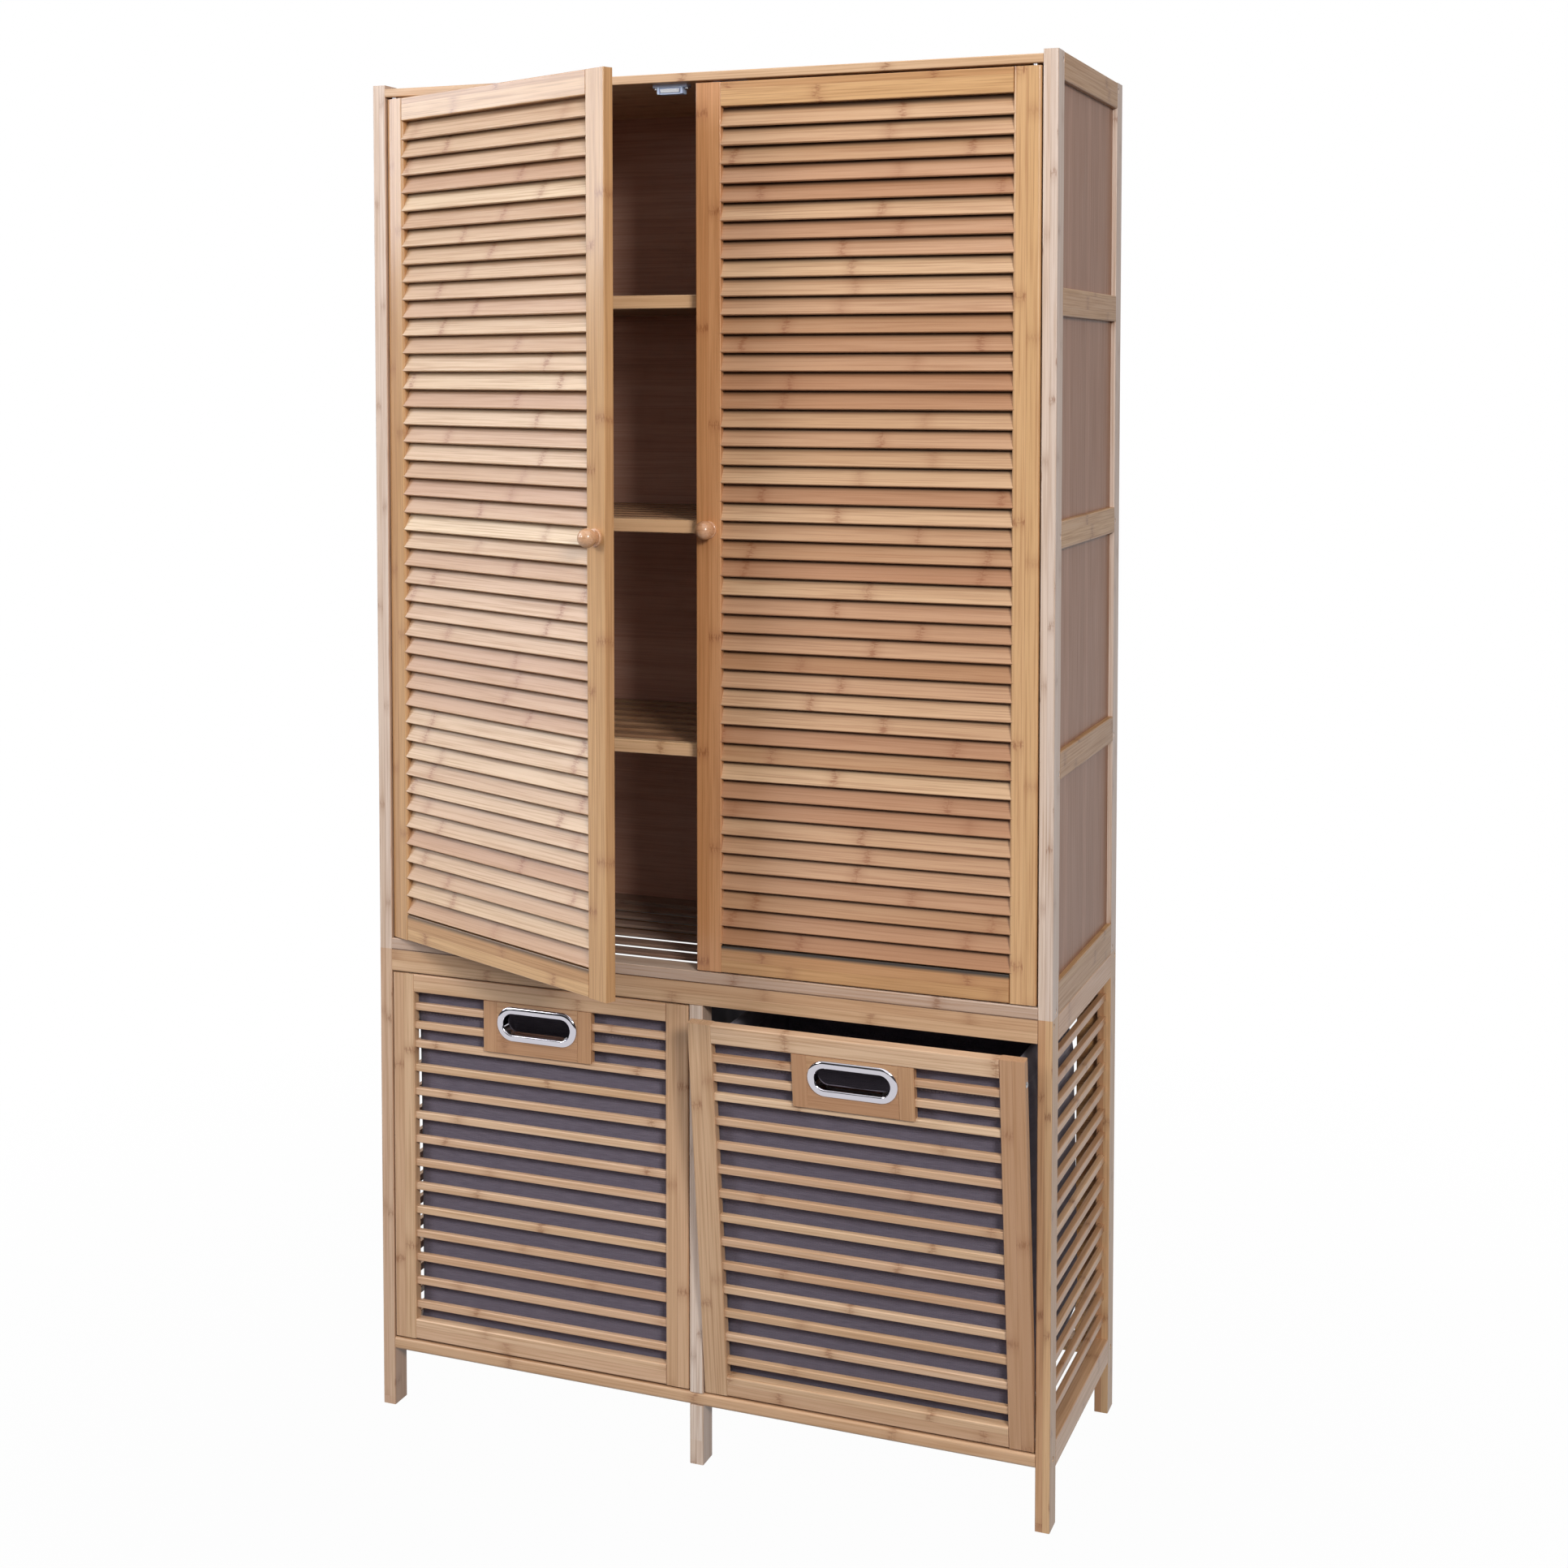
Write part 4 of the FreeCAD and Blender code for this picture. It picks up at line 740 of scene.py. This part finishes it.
# the knobs' balls sit closer to their feet than in the CAD
knobCut = {
    "foot": 0.0112, "footThick": 0.0033, "footEdge": 0.0015, "waist": (0.0078, 0.0036),
    "ball": 0.0119, "reach": 0.0139, "ballFrom": -55, "ballSteps": 28,
}
edgeCentre = (knobCut["foot"] - knobCut["footEdge"], knobCut["footThick"] - knobCut["footEdge"])
footArc = arc(edgeCentre, (knobCut["footEdge"],) * 2, 0, 90)
ballSize = (knobCut["ball"],) * 2
ballArc = arc((0.0, knobCut["reach"]), ballSize, knobCut["ballFrom"], 90, knobCut["ballSteps"])
knobProfile = [(0.0, 0.0), (knobCut["foot"], 0.0)] + footArc + [knobCut["waist"]] + ballArc
for side in bothSides:
    low, high = shutBox(side, "door", "knob")
    form = spun(knobProfile)
    place = ((low.x + high.x) / 2, high.y, (low.z + high.z) / 2)
    bmesh.ops.translate(form, verts=form.verts, vec=place)
    turn = openTurn(f"{side}_door_hinge")
    knob = settle(form, f"{side}_turned_knob", f"{side}_door_knob", f"{side}_door", turn)
    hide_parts(f"{side}_door_knob")

# the handles' rings have a wider outer round than the CAD's
ringCut = {
    "lip": 0.010, "wall": 0.002, "proud": 0.003, "outerRound": 0.0056, "innerRound": 0.0026,
    "outerSteps": 16, "straightCuts": 12,
}
ringLow, ringHigh = shutBox("left", "hamper", "grommet")
ringRadius = (ringHigh.z - ringLow.z) / 2
slotRadius = ringRadius - ringCut["lip"]
sleeveRadius = slotRadius + ringCut["wall"]
sleeveEnd = ringCut["proud"] - (ringHigh.y - ringLow.y)
outerSize = (ringCut["outerRound"], ringCut["proud"])
innerCentre = (slotRadius + ringCut["innerRound"], ringCut["proud"] - ringCut["innerRound"])
outerArc = arc((ringRadius - ringCut["outerRound"], 0.0), outerSize, 0, 90, ringCut["outerSteps"])
innerArc = arc(innerCentre, (ringCut["innerRound"],) * 2, 90, 180)
sleeve = [(slotRadius, sleeveEnd), (sleeveRadius, sleeveEnd), (sleeveRadius, 0.0), (ringRadius, 0.0)]
for side in bothSides:
    low, high = shutBox(side, "hamper", "grommet")
    form = spun(outerArc + innerArc + sleeve)
    for vert in form.verts:
        vert.co.x += math.copysign((high.x - low.x) / 2 - ringRadius, vert.co.x)
    straight = [edge for edge in form.edges if edge.calc_length() > ringRadius]
    bmesh.ops.subdivide_edges(form, edges=straight, cuts=ringCut["straightCuts"], use_grid_fill=True)
    place = ((low.x + high.x) / 2, low.y + ringCut["proud"], (low.z + high.z) / 2)
    bmesh.ops.translate(form, verts=form.verts, vec=place)
    turn = openTurn(f"{side}_hamper_tilt")
    ring = settle(form, f"{side}_hand_ring", f"{side}_hamper_grommet", f"{side}_hamper", turn)
    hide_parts(f"{side}_hamper_grommet")

# small pan heads of the stay screws on the hampers' sides
stayCut = {"radius": 0.004, "flat": 0.0026, "proud": 0.0012, "below": 0.031, "sides": 24}
stayRim = [(stayCut["radius"], 0.0), (stayCut["flat"], stayCut["proud"])]
stayProfile = [(0.0, 0.0)] + stayRim + [(0.0, stayCut["proud"])]
for side in bothSides:
    low, high = shutBox(side, "hamper", "stiles")
    form = spun(stayProfile, stayCut["sides"])
    other = bmesh.ops.duplicate(form, geom=form.verts[:] + form.edges[:] + form.faces[:])["geom"]
    other = [part for part in other if isinstance(part, bmesh.types.BMVert)]
    heads = [vert for vert in form.verts if vert not in other]
    for verts, edge, way in ((heads, low.x, -90), (other, high.x, 90)):
        bmesh.ops.rotate(form, verts=verts, matrix=Matrix.Rotation(math.radians(way), 3, "Z"))
        place = (edge, (low.y + high.y) / 2, high.z - stayCut["below"])
        bmesh.ops.translate(form, verts=verts, vec=place)
    turn = openTurn(f"{side}_hamper_tilt")
    screws = settle(form, f"{side}_stay_screws", f"{side}_hamper_pivot_pins", f"{side}_hamper", turn)
print("knobs and rings turned, stay screws driven")

# pale floor, white to the camera away from the cabinet, with its soft shadow near the feet
stage = {
    "size": 14.0, "bounce": (0.1, 0.1, 0.105, 1.0), "white": (1.0, 1.0, 1.0, 1.0),
    "fade": {"From Min": 0.5, "From Max": 2.0, "To Min": 0.98},
}
form = bmesh.new()
bmesh.ops.create_grid(form, x_segments=1, y_segments=1, size=stage["size"])
floor = link(form, "floor")
material, tree, shader = blank("paleFloor")
feed(tree, shader, {"Base Color": stage["bounce"], "Roughness": 0.9, "Specular IOR Level": 0.1})
rays = add(tree, "LightPath").node.outputs
seen = add(tree, "Math", {0: rays["Is Camera Ray"], 1: rays["Is Glossy Ray"]}, operation="MAXIMUM")
seen = add(tree, "Math", {0: seen, 1: rays["Is Transmission Ray"]}, operation="MAXIMUM")
reach = add(tree, "VectorMath", {0: add(tree, "TexCoord", out="Object")}, out="Value", operation="LENGTH")
white = add(tree, "MapRange", {"Value": reach, **stage["fade"]})
white = add(tree, "Math", {0: white, 1: seen}, operation="MULTIPLY")
glow = add(tree, "Emission", {"Color": stage["white"], "Strength": 1.0})
surface = add(tree, "MixShader", {0: white, 1: shader.outputs[0], 2: glow})
feed(tree, tree.nodes["Material Output"], {"Surface": surface})
floor.data.materials.append(material)

# studio light: a key on the right, a softer one on the left, a tall panel that glances off the open door,
# a weak front and a weak top
lamps = {
    "keyRight": {"at": (2.7, -3.1, 2.75), "aim": (0.0, 0.1, 1.0), "size": (0.9, 0.9),
                 "power": 120.0, "tint": (1.0, 0.97, 0.94)},
    "softLeft": {"at": (-2.8, -3.2, 2.6), "aim": (0.1, 0.0, 1.0), "size": (1.2, 1.2),
                 "power": 64.0, "tint": (0.98, 0.98, 1.0)},
    "panelLeft": {"at": (-3.4, -0.9, 2.75), "aim": (-0.2, -0.1, 1.3), "size": (1.2, 2.2),
                  "power": 62.0, "tint": (0.9, 0.97, 1.06)},
    "softFront": {"at": (1.3, -3.4, 2.4), "aim": (0.0, 0.1, 1.0), "size": (2.0, 2.0),
                  "power": 15.0, "tint": (1.0, 1.0, 1.0)},
    "softTop": {"at": (0.6, -0.8, 4.0), "aim": (0.0, 0.1, 0.8), "size": (2.6, 2.6),
                "power": 30.0, "tint": (0.97, 0.98, 1.0)},
}
for name, lamp in lamps.items():
    data = bpy.data.lights.new(name, "AREA")
    data.shape = "RECTANGLE"
    data.size, data.size_y = lamp["size"]
    data.energy = lamp["power"]
    data.color = lamp["tint"]
    light = bpy.data.objects.new(name, data)
    light.location = lamp["at"]
    aim = Vector(lamp["aim"]) - Vector(lamp["at"])
    light.rotation_euler = aim.to_track_quat("-Z", "Y").to_euler()
    scene.collection.objects.link(light)

# the room: white to the camera, cool and dim as ambient light,
# and for reflections a white ceiling and backdrop with a dark front between
studio = {
    "tint": (0.88, 0.94, 1.06, 1.0), "white": (1.0, 1.0, 1.0, 1.0),
    "ambient": {"From Min": 0.1, "From Max": 0.9, "To Min": 0.03, "To Max": 0.34},
    "ceiling": {"From Min": 0.4, "From Max": 0.7, "To Min": 0.04, "To Max": 1.0},
    "backdrop": {"From Min": 0.0, "From Max": 0.4, "To Min": 0.05, "To Max": 0.8},
}
world = bpy.data.worlds.new("studio")
world.use_nodes = True
scene.world = world
sky = world.node_tree
rays = add(sky, "LightPath").node.outputs
ways = add(sky, "SeparateXYZ", {"Vector": add(sky, "TexCoord", out="Generated")}).node.outputs
level = add(sky, "MapRange", {"Value": ways[2], **studio["ambient"]})
ambient = add(sky, "Background", {"Color": studio["tint"], "Strength": level})
ceiling = add(sky, "MapRange", {"Value": ways[2], **studio["ceiling"]}, interpolation_type="SMOOTHSTEP")
backdrop = add(sky, "MapRange", {"Value": ways[1], **studio["backdrop"]}, interpolation_type="SMOOTHSTEP")
mirrored = add(sky, "Math", {0: ceiling, 1: backdrop}, operation="MAXIMUM")
mirrored = add(sky, "Background", {"Color": mirrored})
shiny = add(sky, "Math", {0: rays["Is Glossy Ray"], 1: rays["Is Transmission Ray"]}, operation="MAXIMUM")
room = add(sky, "MixShader", {0: shiny, 1: ambient, 2: mirrored})
white = add(sky, "Background", {"Color": studio["white"], "Strength": 1.0})
room = add(sky, "MixShader", {0: rays["Is Camera Ray"], 1: room, 2: white})
feed(sky, sky.nodes["World Output"], {"Surface": room})

# the photograph's view; focal length, middle and frame in its pixels
shot = {
    "yaw": 0.3714, "pitch": 0.0476, "at": (1.0795, -2.5398, 1.4147),
    "focal": 2662.75, "middle": (943.39, 587.94), "frame": 1932, "sensor": 36.0,
}
right = Vector((math.cos(shot["yaw"]), math.sin(shot["yaw"]), 0.0))
ahead = Vector((-right.y, right.x, 0.0))
forward = ahead * math.cos(shot["pitch"]) - Vector((0.0, 0.0, math.sin(shot["pitch"])))
lens = bpy.data.cameras.new("photoCamera")
lens.sensor_width = shot["sensor"]
lens.lens = shot["focal"] / shot["frame"] * shot["sensor"]
lens.shift_x = 0.5 - shot["middle"][0] / shot["frame"]
lens.shift_y = shot["middle"][1] / shot["frame"] - 0.5
camera = bpy.data.objects.new("photoCamera", lens)
stand = Matrix((right, right.cross(forward), -forward)).transposed().to_4x4()
camera.matrix_world = Matrix.Translation(shot["at"]) @ stand
scene.collection.objects.link(camera)
scene.camera = camera
scene.view_settings.view_transform = "Standard"
print("floor, light and camera set")
